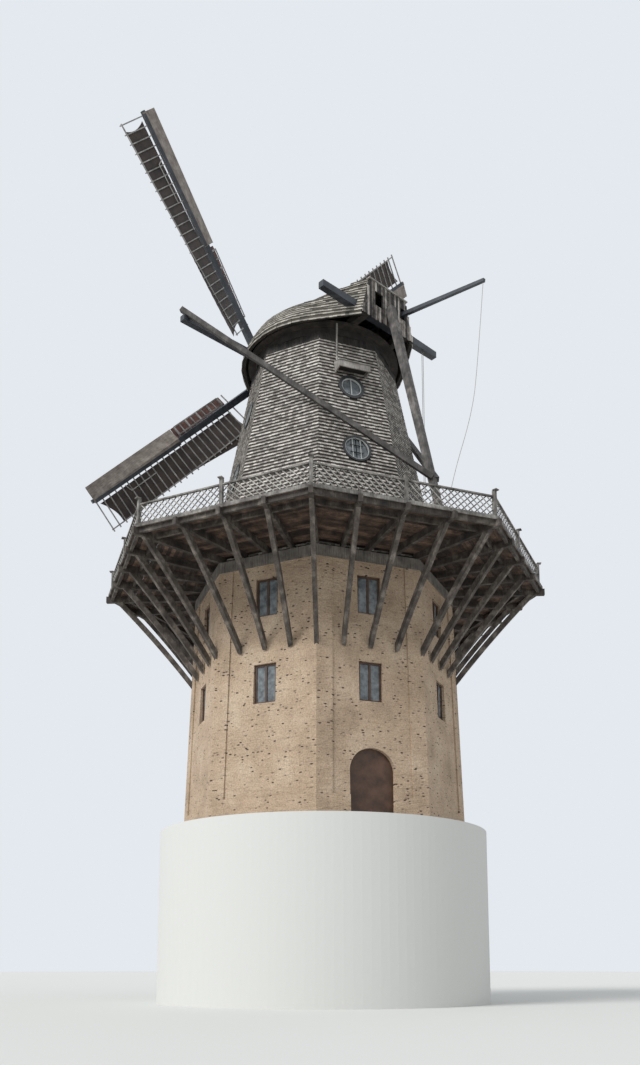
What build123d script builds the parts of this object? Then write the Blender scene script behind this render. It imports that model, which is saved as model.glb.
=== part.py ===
from build123d import *
from math import acos, atan2, cos, degrees, hypot, radians, sin, sqrt, tan
import os

os.makedirs("parts", exist_ok=True)

# The origin lies on the mill's axis at ground level, +Z up. The sails face -Y and the tail pole +Y.
# The octagons have corners on X and Y, and their radii are measured to the corners.
sides = 8

# Masonry tower
tower_foot_radius = 6500
tower_top_radius = 6110
tower_height = 11440
tower_wall = 650
ground_floor_thickness = 200
pilaster_width = 700
panel_recess = 60
plinth_height = 900
band_height = 500
band_projection = 45
storey_heights = (3700, 7500)
floor_thickness = 220
entrance_width = 2000
entrance_height = 2900
entrance_setback = 250
door_thickness = 70
tower_window_width = 1050
tower_window_height = 1700
tower_window_sill = 950
window_bar = 90
window_bar_depth = 110
window_setback = 120
glass_thickness = 8

# Timber smock
smock_foot_radius = 5820
smock_top_radius = 3480
smock_height = 11510
smock_wall = 220
smock_floor_rises = (120, 3860, 7260)
lower_window_rise = 5360
lower_window_diameter = 1250
upper_window_rise = 8700
upper_window_diameter = 1050
round_frame_width = 90
round_frame_projection = 30
gallery_door_width = 1000
gallery_door_height = 1950
hood_width = 1500
hood_height = 620
hood_front_height = 280
hood_projection = 620
hood_board = 60
hood_gap = 120
hood_pole_diameter = 90
curb_radius = 3330
curb_width = 420
curb_height = 330

# Gallery
gallery_radius = 10410
joist_height = 300
joist_width = 180
joist_projection = 70
plank_thickness = 60
strut_width = 190
strut_depth = 240
strut_bow = 90
strut_foot_height = 6700
strut_head_setback = 420
trimmer_height = 220
trimmer_width = 120
trimmer_setback = 130
bearer_setback = 900
kerb_height = 150
kerb_thickness = 50
kerb_rise = 75
post_size = 140
post_height = 1215
post_setback = 130
rail_height = 1000
rail_width = 110
rail_depth = 60
foot_rail_height = 130
lattice_bar = 40
lattice_thickness = 30
lattice_rows = 1
lattice_columns = 6

# Cap
cap_gap = 10
cap_radius = 4000
cap_wall = 150
cap_bearing_radius = 3700
cap_bearing_height = 110
rim_rise = 300
dome_height = 2750
rear_gable_distance = 4400
rear_gable_foot_width = 3360
rear_gable_top_width = 2380
front_gable_distance = 3650
front_gable_foot_width = 3700
front_gable_top_width = 2500
gable_thickness = 60
hatch_width = 450
hatch_height = 700
hatch_side = 600
hatch_rise = 640
verge_overhang = 160
verge_thickness = 60
sheer_spacing = 2500
sheer_width = 320
sheer_height = 280
cross_beam_width = 300
spreader_width = 340
spreader_tip_share = 0.9
short_spreader_distance = 3980
short_spreader_length = 7540
long_spreader_distance = 1660
long_spreader_length = 14510
long_spreader_depth = 300
tail_pole_head_rise = 800
tail_pole_foot_distance = 7560
tail_pole_foot_rise = 550
tail_pole_width = 340
tail_pole_foot_width = 260
brace_width = 220
brace_head = 450
brace_setback = 200
brace_foot_rise = 3000
hoist_rope_diameter = 24
hoist_rope_spacing = 90
hoist_rope_setback = 850
hoist_rope_length = 7500

# Brake lever
lever_side = 1000
lever_pivot_distance = 2500
lever_pivot_rise = 1600
lever_end_distance = 9250
lever_end_rise = 240
lever_width = 200
lever_end_width = 140
lever_slot_height = 560
lever_play = 15
lever_post_width = 200
lever_pin_diameter = 80
pin_play = 6
brake_rope_diameter = 26

# Sails on the windshaft
shaft_tilt = 13.5
hub_distance = 4464
hub_rise = 1760
shaft_diameter = 560
shaft_tail_distance = 900
shaft_nose = 620
shaft_play = 15
sail_turn = 43
sail_length = 12740
stock_width = 340
stock_depth = 300
stock_tip_width = 170
stock_tip_depth = 150
stock_shoulder = 1500
stock_spacing = 380
bar_count = 25
bar_width = 45
bar_depth = 60
bar_overhang = 130
sail_heel = 2750
sail_width = 1550
hem_width = 60
hem_thickness = 40
hem_overhang = 60
heel_weather = 32
tip_weather = 3
cloth_thickness = 20
seat_gap = 0.3
lead_width = 620
lead_thickness = 25
board_gap = 10
nose_first_bar = 10
nose_thickness = 30
nose_lap = 40
nose_hollow = 0.6
cloth_setback = 100

half_side = radians(180 / sides)
flat = cos(half_side)
corner_angles = [index * 360 / sides for index in range(sides)]
face_angles = [angle + 180 / sides for angle in corner_angles]
window_faces = face_angles[1::2]
plain_faces = face_angles[0::2]
entrance_faces = (face_angles[1], face_angles[5])
gallery_door_faces = (plain_faces[0], plain_faces[2])

smock_top = tower_height + smock_height
deck_bottom = tower_height + joist_height
deck_top = deck_bottom + plank_thickness
rim = smock_top + rim_rise
cap_foot = smock_top + curb_height + cap_gap
sheer_foot = cap_foot + cap_bearing_height
sheer_top = sheer_foot + sheer_height


def tower_radius(z):
    return tower_foot_radius + (tower_top_radius - tower_foot_radius) * z / tower_height


def smock_radius(z):
    return smock_foot_radius + (smock_top_radius - smock_foot_radius) * (z - tower_height) / smock_height


tower_slope = degrees(atan2((tower_foot_radius - tower_top_radius) * flat, tower_height))
smock_slope = degrees(atan2((smock_foot_radius - smock_top_radius) * flat, smock_height))


def face_plane(angle, distance, z=0.0):
    """Upright plane across the axis's direction at an angle: x runs round the mill, y up, z outward."""
    a = radians(angle)
    return Plane((distance * cos(a), distance * sin(a), z), x_dir=(-sin(a), cos(a), 0), z_dir=(cos(a), sin(a), 0))


def spoke_plane(angle):
    """Upright plane through the axis: x outward, y up."""
    a = radians(angle)
    return Plane((0, 0, 0), x_dir=(cos(a), sin(a), 0), z_dir=(sin(a), -cos(a), 0))


def turned(plane, x=0.0, z=0.0):
    """Plane turned about its own x and z."""
    return Plane(plane.location * Rot(x, 0, z))


def smock_plane(angle, z, inward=0.0):
    """Plane on the smock's sloping outside, or some way into its wall."""
    return turned(face_plane(angle, smock_radius(z) * flat, z), x=-smock_slope).offset(-inward)


def flat_face(*corners):
    return Face(Wire.make_polygon(corners))


def facet_loft(*rings, mode=Mode.ADD):
    """Loft with flat faces through closed rings of points; a twisted side is split on its diagonal."""
    rings = [[Vector(point) for point in ring] for ring in rings]
    faces = [flat_face(*rings[0]), flat_face(*rings[-1])]
    for near, far in zip(rings, rings[1:]):
        for index in range(len(near)):
            a, b, c, d = near[index - 1], near[index], far[index], far[index - 1]
            if abs((b - a).cross(c - a).normalized().dot(d - a)) < 0.001:
                faces.append(flat_face(a, b, c, d))
            else:
                faces += [flat_face(a, b, c), flat_face(a, c, d)]
    add(Solid(Shell(faces)), mode=mode)


def octagon(radius, z):
    return [(radius * cos(radians(angle)), radius * sin(radians(angle)), z) for angle in corner_angles]


def octagon_loft(foot_radius, foot, top_radius, top, mode=Mode.ADD):
    facet_loft(octagon(foot_radius, foot), octagon(top_radius, top), mode=mode)


def rectangle_on(plane, width, depth, x=0.0, y=0.0):
    """Corners of a rectangle centred at a place on a plane."""
    return [
        plane.from_local_coords((x + across * width / 2, y + along * depth / 2, 0))
        for across, along in ((-1, -1), (1, -1), (1, 1), (-1, 1))
    ]


def octagon_ring(outer_radius, width, foot, height):
    """Level ring whose flat sides are a given width."""
    with BuildSketch(Plane.XY.offset(foot)) as ring:
        RegularPolygon(outer_radius, sides)
        RegularPolygon(outer_radius - width / flat, sides, mode=Mode.SUBTRACT)
    extrude(ring.sketch, amount=height)


def save(part, label):
    part.label = label
    export_step(part, f"parts/{label}.step")


wall_drop = tower_wall / flat
with BuildPart() as tower_room:
    octagon_loft(tower_foot_radius - wall_drop, 0, tower_top_radius - wall_drop, tower_height)

panel_foot, panel_top = plinth_height, tower_height - band_height
panel_middle = (panel_foot + panel_top) / 2
panel_half = (panel_top - panel_foot) / 2
panel_planes = [
    turned(face_plane(angle, tower_radius(panel_middle) * flat, panel_middle), x=-tower_slope)
    for angle in face_angles
]
window_middles = [storey + floor_thickness + tower_window_sill + tower_window_height / 2 for storey in storey_heights]
arch_rise = entrance_height - entrance_width / 2

with BuildPart() as masonry_base:
    octagon_loft(tower_foot_radius, 0, tower_top_radius, tower_height)
    add(tower_room.part, mode=Mode.SUBTRACT)
    with BuildSketch(*panel_planes):
        foot_half = tower_radius(panel_foot) * sin(half_side) - pilaster_width
        top_half = tower_radius(panel_top) * sin(half_side) - pilaster_width
        Polygon(
            (-foot_half, -panel_half), (foot_half, -panel_half), (top_half, panel_half), (-top_half, panel_half),
            align=None,
        )
    extrude(amount=-panel_recess, both=True, mode=Mode.SUBTRACT)
    with BuildSketch(*[face_plane(angle, tower_top_radius / 2) for angle in entrance_faces]):
        with Locations((0, (ground_floor_thickness + arch_rise) / 2)):
            Rectangle(entrance_width, arch_rise - ground_floor_thickness)
        with Locations((0, arch_rise)):
            Circle(entrance_width / 2)
    extrude(amount=tower_foot_radius, mode=Mode.SUBTRACT)
    with BuildSketch(*[face_plane(angle, tower_top_radius / 2) for angle in face_angles]):
        with Locations(*[(0, middle) for middle in window_middles]):
            Rectangle(tower_window_width, tower_window_height)
    extrude(amount=tower_foot_radius, mode=Mode.SUBTRACT)
    for angle in corner_angles[:sides // 2]:
        split(bisect_by=spoke_plane(angle), keep=Keep.BOTH)
save(masonry_base.part, "masonry_base")

with BuildPart() as ground_floor:
    with BuildSketch():
        RegularPolygon(tower_foot_radius, sides)
    extrude(amount=ground_floor_thickness)
    add(tower_room.part, mode=Mode.INTERSECT)
save(ground_floor.part, "ground_floor")

with BuildPart() as tower_floors:
    for height in storey_heights:
        with BuildSketch(Plane.XY.offset(height)):
            RegularPolygon(tower_foot_radius, sides)
        extrude(amount=floor_thickness)
    add(tower_room.part, mode=Mode.INTERSECT)
save(tower_floors.part, "tower_floors")

with BuildPart() as tower_band:
    band_foot = tower_height - band_height
    octagon_loft(
        tower_radius(band_foot) + band_projection, band_foot, tower_top_radius + band_projection, tower_height
    )
    octagon_loft(tower_radius(band_foot), band_foot, tower_top_radius, tower_height, Mode.SUBTRACT)
save(tower_band.part, "tower_band")

with BuildPart() as entrance_doors:
    leaf_distance = tower_radius(entrance_height) * flat - entrance_setback - door_thickness
    with BuildSketch(*[face_plane(angle, leaf_distance) for angle in entrance_faces]):
        with Locations((0, (ground_floor_thickness + arch_rise) / 2)):
            Rectangle(entrance_width, arch_rise - ground_floor_thickness)
        with Locations((0, arch_rise)):
            Circle(entrance_width / 2)
    extrude(amount=door_thickness)
save(entrance_doors.part, "entrance_doors")


def tower_window_planes(inward):
    """For each row of windows, the planes some way into the wall from its outside."""
    return [
        [face_plane(angle, tower_radius(middle) * flat - panel_recess - inward, middle) for angle in face_angles]
        for middle in window_middles
    ]


clear_width = tower_window_width - 2 * window_bar
clear_height = tower_window_height - 2 * window_bar
with BuildPart() as tower_window_frames:
    for planes in tower_window_planes(window_setback + window_bar_depth):
        with BuildSketch(*planes):
            Rectangle(tower_window_width, tower_window_height)
            Rectangle(clear_width, clear_height, mode=Mode.SUBTRACT)
            Rectangle(window_bar, clear_height)
        extrude(amount=window_bar_depth)
save(tower_window_frames.part, "tower_window_frames")

with BuildPart() as tower_window_glass:
    for planes in tower_window_planes(window_setback + window_bar_depth / 2):
        with BuildSketch(*planes):
            Rectangle(clear_width, clear_height)
            Rectangle(window_bar, clear_height, mode=Mode.SUBTRACT)
        extrude(amount=glass_thickness)
save(tower_window_glass.part, "tower_window_glass")

smock_drop = smock_wall / flat
round_windows = (
    (tower_height + lower_window_rise, lower_window_diameter),
    (tower_height + upper_window_rise, upper_window_diameter),
)
gallery_door_middle = deck_top + gallery_door_height / 2

for index, angle in enumerate(face_angles, start=1):
    corners = (radians(angle) - half_side, radians(angle) + half_side)
    with BuildPart() as smock_side:
        facet_loft(*[
            [(radius * cos(a), radius * sin(a), z) for radius, a in (
                (smock_radius(z), corners[0]), (smock_radius(z), corners[1]),
                (smock_radius(z) - smock_drop, corners[1]), (smock_radius(z) - smock_drop, corners[0]),
            )]
            for z in (tower_height, smock_top)
        ])
        if angle in window_faces:
            for z, diameter in round_windows:
                with BuildSketch(smock_plane(angle, z)):
                    Circle(diameter / 2)
                extrude(amount=smock_wall * 1.5, both=True, mode=Mode.SUBTRACT)
        if angle in gallery_door_faces:
            with BuildSketch(smock_plane(angle, gallery_door_middle)):
                Rectangle(gallery_door_width, gallery_door_height)
            extrude(amount=smock_wall * 1.5, both=True, mode=Mode.SUBTRACT)
    save(smock_side.part, f"smock_wall_{index}")

with BuildPart() as smock_floors:
    for rise in smock_floor_rises:
        with BuildSketch(Plane.XY.offset(tower_height + rise)):
            RegularPolygon(smock_foot_radius, sides)
        extrude(amount=floor_thickness)
    octagon_loft(
        smock_foot_radius - smock_drop, tower_height, smock_top_radius - smock_drop, smock_top, Mode.INTERSECT
    )
save(smock_floors.part, "smock_floors")

with BuildPart() as round_window_frames:
    for z, diameter in round_windows:
        with BuildSketch(*[smock_plane(angle, z, smock_wall / 2) for angle in window_faces]):
            Circle(diameter / 2)
            Circle(diameter / 2 - round_frame_width, mode=Mode.SUBTRACT)
            Rectangle(round_frame_width / 2, diameter - round_frame_width)
        extrude(amount=smock_wall / 2 + round_frame_projection)
save(round_window_frames.part, "round_window_frames")

with BuildPart() as round_window_glass:
    for z, diameter in round_windows:
        with BuildSketch(*[smock_plane(angle, z, smock_wall / 4) for angle in window_faces]):
            Circle(diameter / 2 - round_frame_width)
            Rectangle(round_frame_width / 2, diameter, mode=Mode.SUBTRACT)
        extrude(amount=glass_thickness)
save(round_window_glass.part, "round_window_glass")

with BuildPart() as gallery_doors:
    with BuildSketch(*[smock_plane(angle, gallery_door_middle, smock_wall / 2) for angle in gallery_door_faces]):
        Rectangle(gallery_door_width, gallery_door_height)
    extrude(amount=door_thickness)
save(gallery_doors.part, "gallery_doors")

hood_foot = tower_height + upper_window_rise + upper_window_diameter / 2 + hood_gap
hood_top = hood_foot + hood_height
hood_back = smock_radius(hood_foot) * flat
hood_front = hood_back + hood_projection
roof_back = smock_radius(hood_top) * flat
with BuildPart() as window_hood:
    with BuildSketch(spoke_plane(window_faces[0])):
        Polygon(
            (hood_back, hood_foot),
            (hood_front, hood_foot),
            (hood_front, hood_foot + hood_front_height),
            (roof_back, hood_top),
            align=None,
        )
    extrude(amount=hood_width / 2, both=True)
    with BuildSketch(spoke_plane(window_faces[0])):
        Polygon(
            (hood_back - hood_board, hood_foot - hood_board),
            (hood_front - hood_board, hood_foot - hood_board),
            (hood_front - hood_board, hood_foot + hood_front_height - hood_board),
            (roof_back - hood_board, hood_top - hood_board),
            align=None,
        )
    extrude(amount=hood_width / 2 - hood_board, both=True, mode=Mode.SUBTRACT)
save(window_hood.part, "window_hood")

pole_distance = cap_radius - cap_wall - hood_pole_diameter * 2
pole_share = (pole_distance - roof_back) / (hood_front - roof_back)
pole_foot = hood_top - (hood_height - hood_front_height) * pole_share
with BuildPart() as hood_pole:
    with BuildSketch(Plane.XY.offset(pole_foot - hood_board / 2)):
        a = radians(window_faces[0])
        side = -(hood_width / 2 - hood_pole_diameter)
        with Locations((pole_distance * cos(a) - side * sin(a), pole_distance * sin(a) + side * cos(a))):
            Circle(hood_pole_diameter / 2)
    extrude(amount=rim - cap_gap - pole_foot + hood_board / 2)
    add(window_hood.part, mode=Mode.SUBTRACT)
save(hood_pole.part, "hood_pole")

with BuildPart() as curb_ring:
    with BuildSketch(Plane.XY.offset(smock_top)):
        Circle(curb_radius)
        Circle(curb_radius - curb_width, mode=Mode.SUBTRACT)
    extrude(amount=curb_height)
save(curb_ring.part, "curb_ring")

# Gallery: the spokes stand at each corner and at the quarter points of each side.
quarter_angle = degrees(atan2(tan(half_side), 2))
spoke_kinds = [
    (180 / sides, corner_angles),
    (quarter_angle, [angle + shift for angle in face_angles for shift in (-quarter_angle, quarter_angle)]),
    (0, face_angles),
]


def reach(corner_radius, off_face):
    """Distance from the axis to an octagon's side, an angle away from the middle of its face."""
    return corner_radius * flat / cos(radians(off_face))


with BuildPart() as gallery_joists:
    for off_face, angles in spoke_kinds:
        start = reach(smock_radius(tower_height), off_face) + joist_width / 2 * tan(radians(off_face))
        end = reach(gallery_radius, off_face) + joist_projection
        with BuildSketch(*[spoke_plane(angle) for angle in angles]):
            with Locations(((start + end) / 2, tower_height + joist_height / 2)):
                Rectangle(end - start, joist_height)
        extrude(amount=joist_width / 2, both=True)
save(gallery_joists.part, "gallery_joists")

with BuildPart() as gallery_struts:
    for off_face, angles in spoke_kinds:
        head = reach(gallery_radius, off_face) - strut_head_setback
        foot = reach(tower_radius(strut_foot_height), off_face) - tower_wall / 2
        slope = atan2(tower_height - strut_foot_height, head - foot)
        head_cut, foot_cut = strut_depth / sin(slope), strut_depth / cos(slope)
        bow = Vector(-sin(slope), cos(slope)) * strut_bow
        with BuildSketch(*[spoke_plane(angle) for angle in angles]):
            with BuildLine():
                lower_foot = Vector(foot, strut_foot_height)
                lower_head = Vector(head, tower_height)
                upper_foot = lower_foot + (0, foot_cut)
                upper_head = lower_head - (head_cut, 0)
                ThreePointArc(lower_foot, (lower_foot + lower_head) / 2 + bow, lower_head)
                Line(lower_head, upper_head)
                ThreePointArc(upper_head, (upper_head + upper_foot) / 2 + bow, upper_foot)
                Line(upper_foot, lower_foot)
            make_face()
        extrude(amount=strut_width / 2, both=True)
    octagon_loft(tower_foot_radius, 0, tower_top_radius, tower_height, Mode.SUBTRACT)
save(gallery_struts.part, "gallery_struts")


def beams_between_joists(setback, label):
    with BuildPart() as beams:
        octagon_ring(gallery_radius - setback, trimmer_width, deck_bottom - trimmer_height, trimmer_height)
        add(gallery_joists.part, mode=Mode.SUBTRACT)
    save(beams.part, label)


beams_between_joists(trimmer_setback, "edge_trimmers")
beams_between_joists(bearer_setback, "deck_bearers")

with BuildPart() as deck_boards:
    with BuildSketch(Plane.XY.offset(deck_bottom)):
        RegularPolygon(gallery_radius - kerb_thickness / flat, sides)
        RegularPolygon(smock_radius(deck_bottom), sides, mode=Mode.SUBTRACT)
    extrude(amount=plank_thickness)
save(deck_boards.part, "deck_boards")

with BuildPart() as kerb_boards:
    octagon_ring(gallery_radius, kerb_thickness, deck_top + kerb_rise - kerb_height, kerb_height)
    add(gallery_joists.part, mode=Mode.SUBTRACT)
save(kerb_boards.part, "kerb_boards")

rail_radius = gallery_radius - post_setback / flat
post_planes = [face_plane(angle, reach(rail_radius, 180 / sides) - post_size, deck_top) for angle in corner_angles]
post_planes += [face_plane(angle, reach(rail_radius, 0) - post_size, deck_top) for angle in face_angles]
with BuildPart() as railing_posts:
    with BuildSketch(*post_planes):
        with Locations((0, post_height / 2)):
            Rectangle(post_size, post_height)
    extrude(amount=post_size)
save(railing_posts.part, "railing_posts")

with BuildPart() as handrails:
    for top in (rail_height, foot_rail_height):
        outer = rail_radius - (post_size - rail_width) / 2 / flat
        octagon_ring(outer, rail_width, deck_top + top - rail_depth, rail_depth)
    add(railing_posts.part, mode=Mode.SUBTRACT)
save(handrails.part, "handrails")

lattice_height = rail_height - rail_depth - foot_rail_height
lattice_distance = rail_radius * flat - post_size / 2 - lattice_thickness / 2
bay_start = post_size / 2
bay_end = lattice_distance * tan(half_side) - post_size / 2 / flat
bay_length = bay_end - bay_start
cell = bay_length / lattice_columns
rise = lattice_height / lattice_rows
bar_length = hypot(cell, rise) * (lattice_rows + 2)
lean = degrees(atan2(rise, cell))
for half in range(2):
    bay_planes = []
    for angle in face_angles[4 * half:4 * half + 4]:
        plane = face_plane(angle, lattice_distance, deck_top + foot_rail_height + lattice_height / 2)
        for way in (-1, 1):
            middle = plane.from_local_coords((way * (bay_start + bay_end) / 2, 0, 0))
            bay_planes.append(Plane(middle, x_dir=plane.x_dir, z_dir=plane.z_dir))
    with BuildPart() as lattice:
        with BuildSketch(*bay_planes):
            for step in range(-lattice_rows, lattice_columns + lattice_rows):
                with Locations((-bay_length / 2 + (step + 0.5) * cell, 0)):
                    Rectangle(bar_length, lattice_bar, rotation=lean)
                    Rectangle(bar_length, lattice_bar, rotation=-lean)
            Rectangle(bay_length, lattice_height, mode=Mode.INTERSECT)
        extrude(amount=lattice_thickness)
    save(lattice.part, f"railing_lattice_{half + 1}")

# Cap: a round roof that runs out to an upright gable at the back and is cut off by one at the front.
# Each level of the roof is a share of the cap's radius and of the dome's height.
roof_levels = ((1, 0), (0.98, 0.12), (0.935, 0.25), (0.865, 0.42), (0.75, 0.58), (0.56, 0.7), (0.27, 0.87))
arc_points = 9
rear_gable_top = rim + dome_height * roof_levels[5][1]
front_gable_top = rim + dome_height * roof_levels[6][1]
gables = (
    (1, rear_gable_distance, rear_gable_foot_width / 2, rear_gable_top_width / 2, rear_gable_top),
    (-1, front_gable_distance, front_gable_foot_width / 2, front_gable_top_width / 2, front_gable_top),
)


def roof_ring(radius, z, inset):
    """Level outline of the roof: arcs on both sides, joined by tangents to the two gables."""
    ends = []
    for way, distance, foot_half, top_half, top in gables:
        if z <= top:
            half = foot_half + (top_half - foot_half) * (z - rim) / (top - rim) - inset
        else:
            drawn_in = (rim + dome_height - z) / (rim + dome_height - top)
            half, distance = (top_half - inset) * drawn_in, distance * drawn_in
        tangent = atan2(distance, half) - acos(min(1, radius / hypot(half, distance)))
        ends.append((half, way * distance, way * tangent))
    (rear_half, rear_y, rear_angle), (front_half, front_y, front_angle) = ends
    turns = [front_angle + (rear_angle - front_angle) * step / (arc_points - 1) for step in range(arc_points)]
    right = [(front_half, front_y)] + [(radius * cos(a), radius * sin(a)) for a in turns] + [(rear_half, rear_y)]
    return [(x, y, z) for x, y in right] + [(-x, y, z) for x, y in reversed(right)]


def roof_body(inset, mode=Mode.ADD):
    """Solid under the roof's surface, drawn in by an inset."""
    rings = [
        roof_ring(share * cap_radius - inset, rim + rise * (dome_height - (inset if rise else 0)), inset)
        for share, rise in roof_levels
    ]
    peak = [(x * 0.02, y * 0.02, rim + dome_height - inset) for x, y, z in rings[-1]]
    facet_loft(*rings, peak, mode=mode)


spreader_shoulder = sheer_spacing * 0.75


def spreader(distance, length, foot, depth):
    """Beam across the cap, tapered towards its ends."""
    stations = ((-length / 2, spreader_tip_share), (-spreader_shoulder, 1),
                (spreader_shoulder, 1), (length / 2, spreader_tip_share))
    facet_loft(*[
        rectangle_on(Plane((x, distance, foot + depth / 2), x_dir=(0, 1, 0), z_dir=(1, 0, 0)),
                     spreader_width * share, depth * share)
        for x, share in stations
    ])


with BuildPart() as short_spreader:
    spreader(short_spreader_distance, short_spreader_length, sheer_top, spreader_width)
save(short_spreader.part, "short_spreader")

with BuildPart() as long_spreader:
    spreader(-long_spreader_distance, long_spreader_length, sheer_foot, long_spreader_depth)
save(long_spreader.part, "long_spreader")

lever_start = Vector(-lever_side, lever_pivot_distance, rim + lever_pivot_rise)
lever_end = Vector(-lever_side, lever_end_distance, rim + lever_end_rise)
lever_angle = degrees(atan2(lever_end_rise - lever_pivot_rise, lever_end_distance - lever_pivot_distance))
lever_at_gable = lever_start.Z + (rear_gable_distance - lever_pivot_distance) * tan(radians(lever_angle))

shaft_angle = radians(shaft_tilt)
shaft_line = Vector(0, -cos(shaft_angle), sin(shaft_angle))
hub = Vector(0, -hub_distance, rim + hub_rise)
shaft_tail = hub - shaft_line * (hub_distance + shaft_tail_distance) / cos(shaft_angle)

with BuildPart() as cap_shell:
    roof_body(0)
    roof_body(cap_wall, Mode.SUBTRACT)
    add([short_spreader.part, long_spreader.part], mode=Mode.SUBTRACT)
save(cap_shell.part, "cap_shell")

with BuildPart() as cap_gables:
    for way, distance, foot_half, top_half, top in gables:
        with BuildSketch(Plane((0, way * distance, 0), x_dir=(-way, 0, 0), z_dir=(0, way, 0))):
            Polygon((-foot_half, sheer_foot), (foot_half, sheer_foot), (top_half, top), (-top_half, top), align=None)
            if way > 0:
                with Locations((-hatch_side, sheer_foot + hatch_rise + hatch_height / 2)):
                    Rectangle(hatch_width, hatch_height, mode=Mode.SUBTRACT)
                with Locations((lever_side, lever_at_gable)):
                    Rectangle(lever_width + 2 * lever_play, lever_slot_height, mode=Mode.SUBTRACT)
        extrude(amount=gable_thickness)
    with BuildSketch(Plane(hub, z_dir=shaft_line)):
        Circle(shaft_diameter / 2 + 2 * lever_play)
    extrude(amount=-hub_distance / 2, mode=Mode.SUBTRACT)
save(cap_gables.part, "cap_gables")

with BuildPart() as gable_verges:
    for way, distance, foot_half, top_half, top in gables:
        with BuildSketch(Plane.XY.offset(top)):
            with Locations((0, way * (distance + gable_thickness / 2))):
                Rectangle(2 * top_half + verge_overhang, gable_thickness + verge_overhang)
        extrude(amount=verge_thickness)
    add(cap_shell.part, mode=Mode.SUBTRACT)
save(gable_verges.part, "gable_verges")

breast_top = hub.Z - (hub_distance - front_gable_distance + cross_beam_width) * tan(shaft_angle)
breast_top -= shaft_diameter / 2 / cos(shaft_angle) + shaft_play
tail_beam_distance = shaft_tail_distance + cross_beam_width
tail_beam_top = shaft_tail.Z + shaft_diameter / 2
with BuildPart() as cap_frame:
    with BuildSketch(Plane.XY.offset(cap_foot)):
        Circle(cap_bearing_radius)
        Circle(curb_radius - curb_width, mode=Mode.SUBTRACT)
        with Locations((0, -front_gable_distance - cap_radius)):
            Rectangle(4 * cap_radius, 2 * cap_radius, mode=Mode.SUBTRACT)
    extrude(amount=cap_bearing_height)
    with BuildSketch(Plane.XY.offset(sheer_foot)):
        with Locations((0, (rear_gable_distance - front_gable_distance) / 2)):
            with GridLocations(sheer_spacing, 0, 2, 1):
                Rectangle(sheer_width, rear_gable_distance + front_gable_distance)
    extrude(amount=sheer_height)
    for y, top in ((cross_beam_width / 2 - front_gable_distance, breast_top), (tail_beam_distance, tail_beam_top)):
        with BuildSketch(Plane.XY.offset(sheer_foot)):
            with Locations((0, y)):
                Rectangle(sheer_spacing, cross_beam_width)
        extrude(amount=top - sheer_foot)
    with BuildSketch(Plane.XY.offset(sheer_top)):
        with Locations((lever_start.X - lever_width / 2 - lever_play - lever_post_width / 2, lever_start.Y)):
            Rectangle(lever_post_width, lever_post_width)
    extrude(amount=lever_start.Z + lever_width - sheer_top)
    with BuildSketch(Plane.YZ.offset(lever_start.X)):
        with Locations((lever_start.Y, lever_start.Z)):
            Circle(lever_pin_diameter / 2 + pin_play)
    extrude(amount=-2 * lever_post_width, mode=Mode.SUBTRACT)
    add(long_spreader.part, mode=Mode.SUBTRACT)
save(cap_frame.part, "cap_frame")

pole_face = rear_gable_distance + gable_thickness
pole_head = Vector(0, pole_face + tail_pole_width / 2, sheer_foot + tail_pole_head_rise)
pole_end = Vector(0, tail_pole_foot_distance, deck_top + tail_pole_foot_rise)
pole_line = (pole_end - pole_head).normalized()
with BuildPart() as tail_pole:
    facet_loft(*[
        rectangle_on(Plane(point, x_dir=(1, 0, 0), z_dir=pole_line), width, width)
        for point, width in ((pole_head, tail_pole_width), (pole_end, tail_pole_foot_width))
    ])
    with BuildSketch(Plane.XZ.offset(-pole_face)):
        with Locations((0, sheer_foot)):
            Rectangle(3 * tail_pole_width, 4 * dome_height)
    extrude(amount=tail_pole_width, mode=Mode.SUBTRACT)
save(tail_pole.part, "tail_pole")

brace_height = deck_top + brace_foot_rise
brace_share = (pole_head.Z - brace_height) / (pole_head.Z - pole_end.Z)
brace_top = sheer_foot + long_spreader_depth * (1 + spreader_tip_share) / 2
with BuildPart() as tail_braces:
    for side in (-1, 1):
        seat = Vector(side * (long_spreader_length / 2 - brace_width), brace_setback - long_spreader_distance,
                      brace_top + brace_width / 5)
        lower = pole_head + (pole_end - pole_head) * brace_share
        lower += (side * tail_pole_foot_width / 2, tail_pole_foot_width / 2, 0)
        line = (lower - seat).normalized()
        upper = seat - line * brace_head
        across = line.cross(Vector(0, 0, 1)).normalized()
        facet_loft(*[
            rectangle_on(Plane(point, x_dir=across, z_dir=line), brace_width, brace_width) for point in (upper, lower)
        ])
    add([long_spreader.part, tail_pole.part], mode=Mode.SUBTRACT)
save(tail_braces.part, "tail_braces")

rope_side = short_spreader_length / 2 - hoist_rope_setback
with BuildPart() as hoist_ropes:
    with BuildSketch(Plane.XY.offset(sheer_top + spreader_width / 2)):
        with Locations((-rope_side, short_spreader_distance)):
            with GridLocations(hoist_rope_spacing, 0, 2, 1):
                Circle(hoist_rope_diameter / 2)
    extrude(amount=-hoist_rope_length)
    add(short_spreader.part, mode=Mode.SUBTRACT)
save(hoist_ropes.part, "hoist_ropes")

lever_line = (lever_end - lever_start).normalized()
with BuildPart() as brake_lever:
    facet_loft(*[
        rectangle_on(Plane(point, x_dir=(1, 0, 0), z_dir=lever_line), width, width)
        for point, width in ((lever_start - lever_line * lever_width, lever_width), (lever_end, lever_end_width))
    ])
    with BuildSketch(Plane.YZ.offset(lever_start.X)):
        with Locations((lever_start.Y, lever_start.Z)):
            Circle(lever_pin_diameter / 2)
    extrude(amount=-lever_width / 2 - lever_play - lever_post_width)
save(brake_lever.part, "brake_lever")

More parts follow.
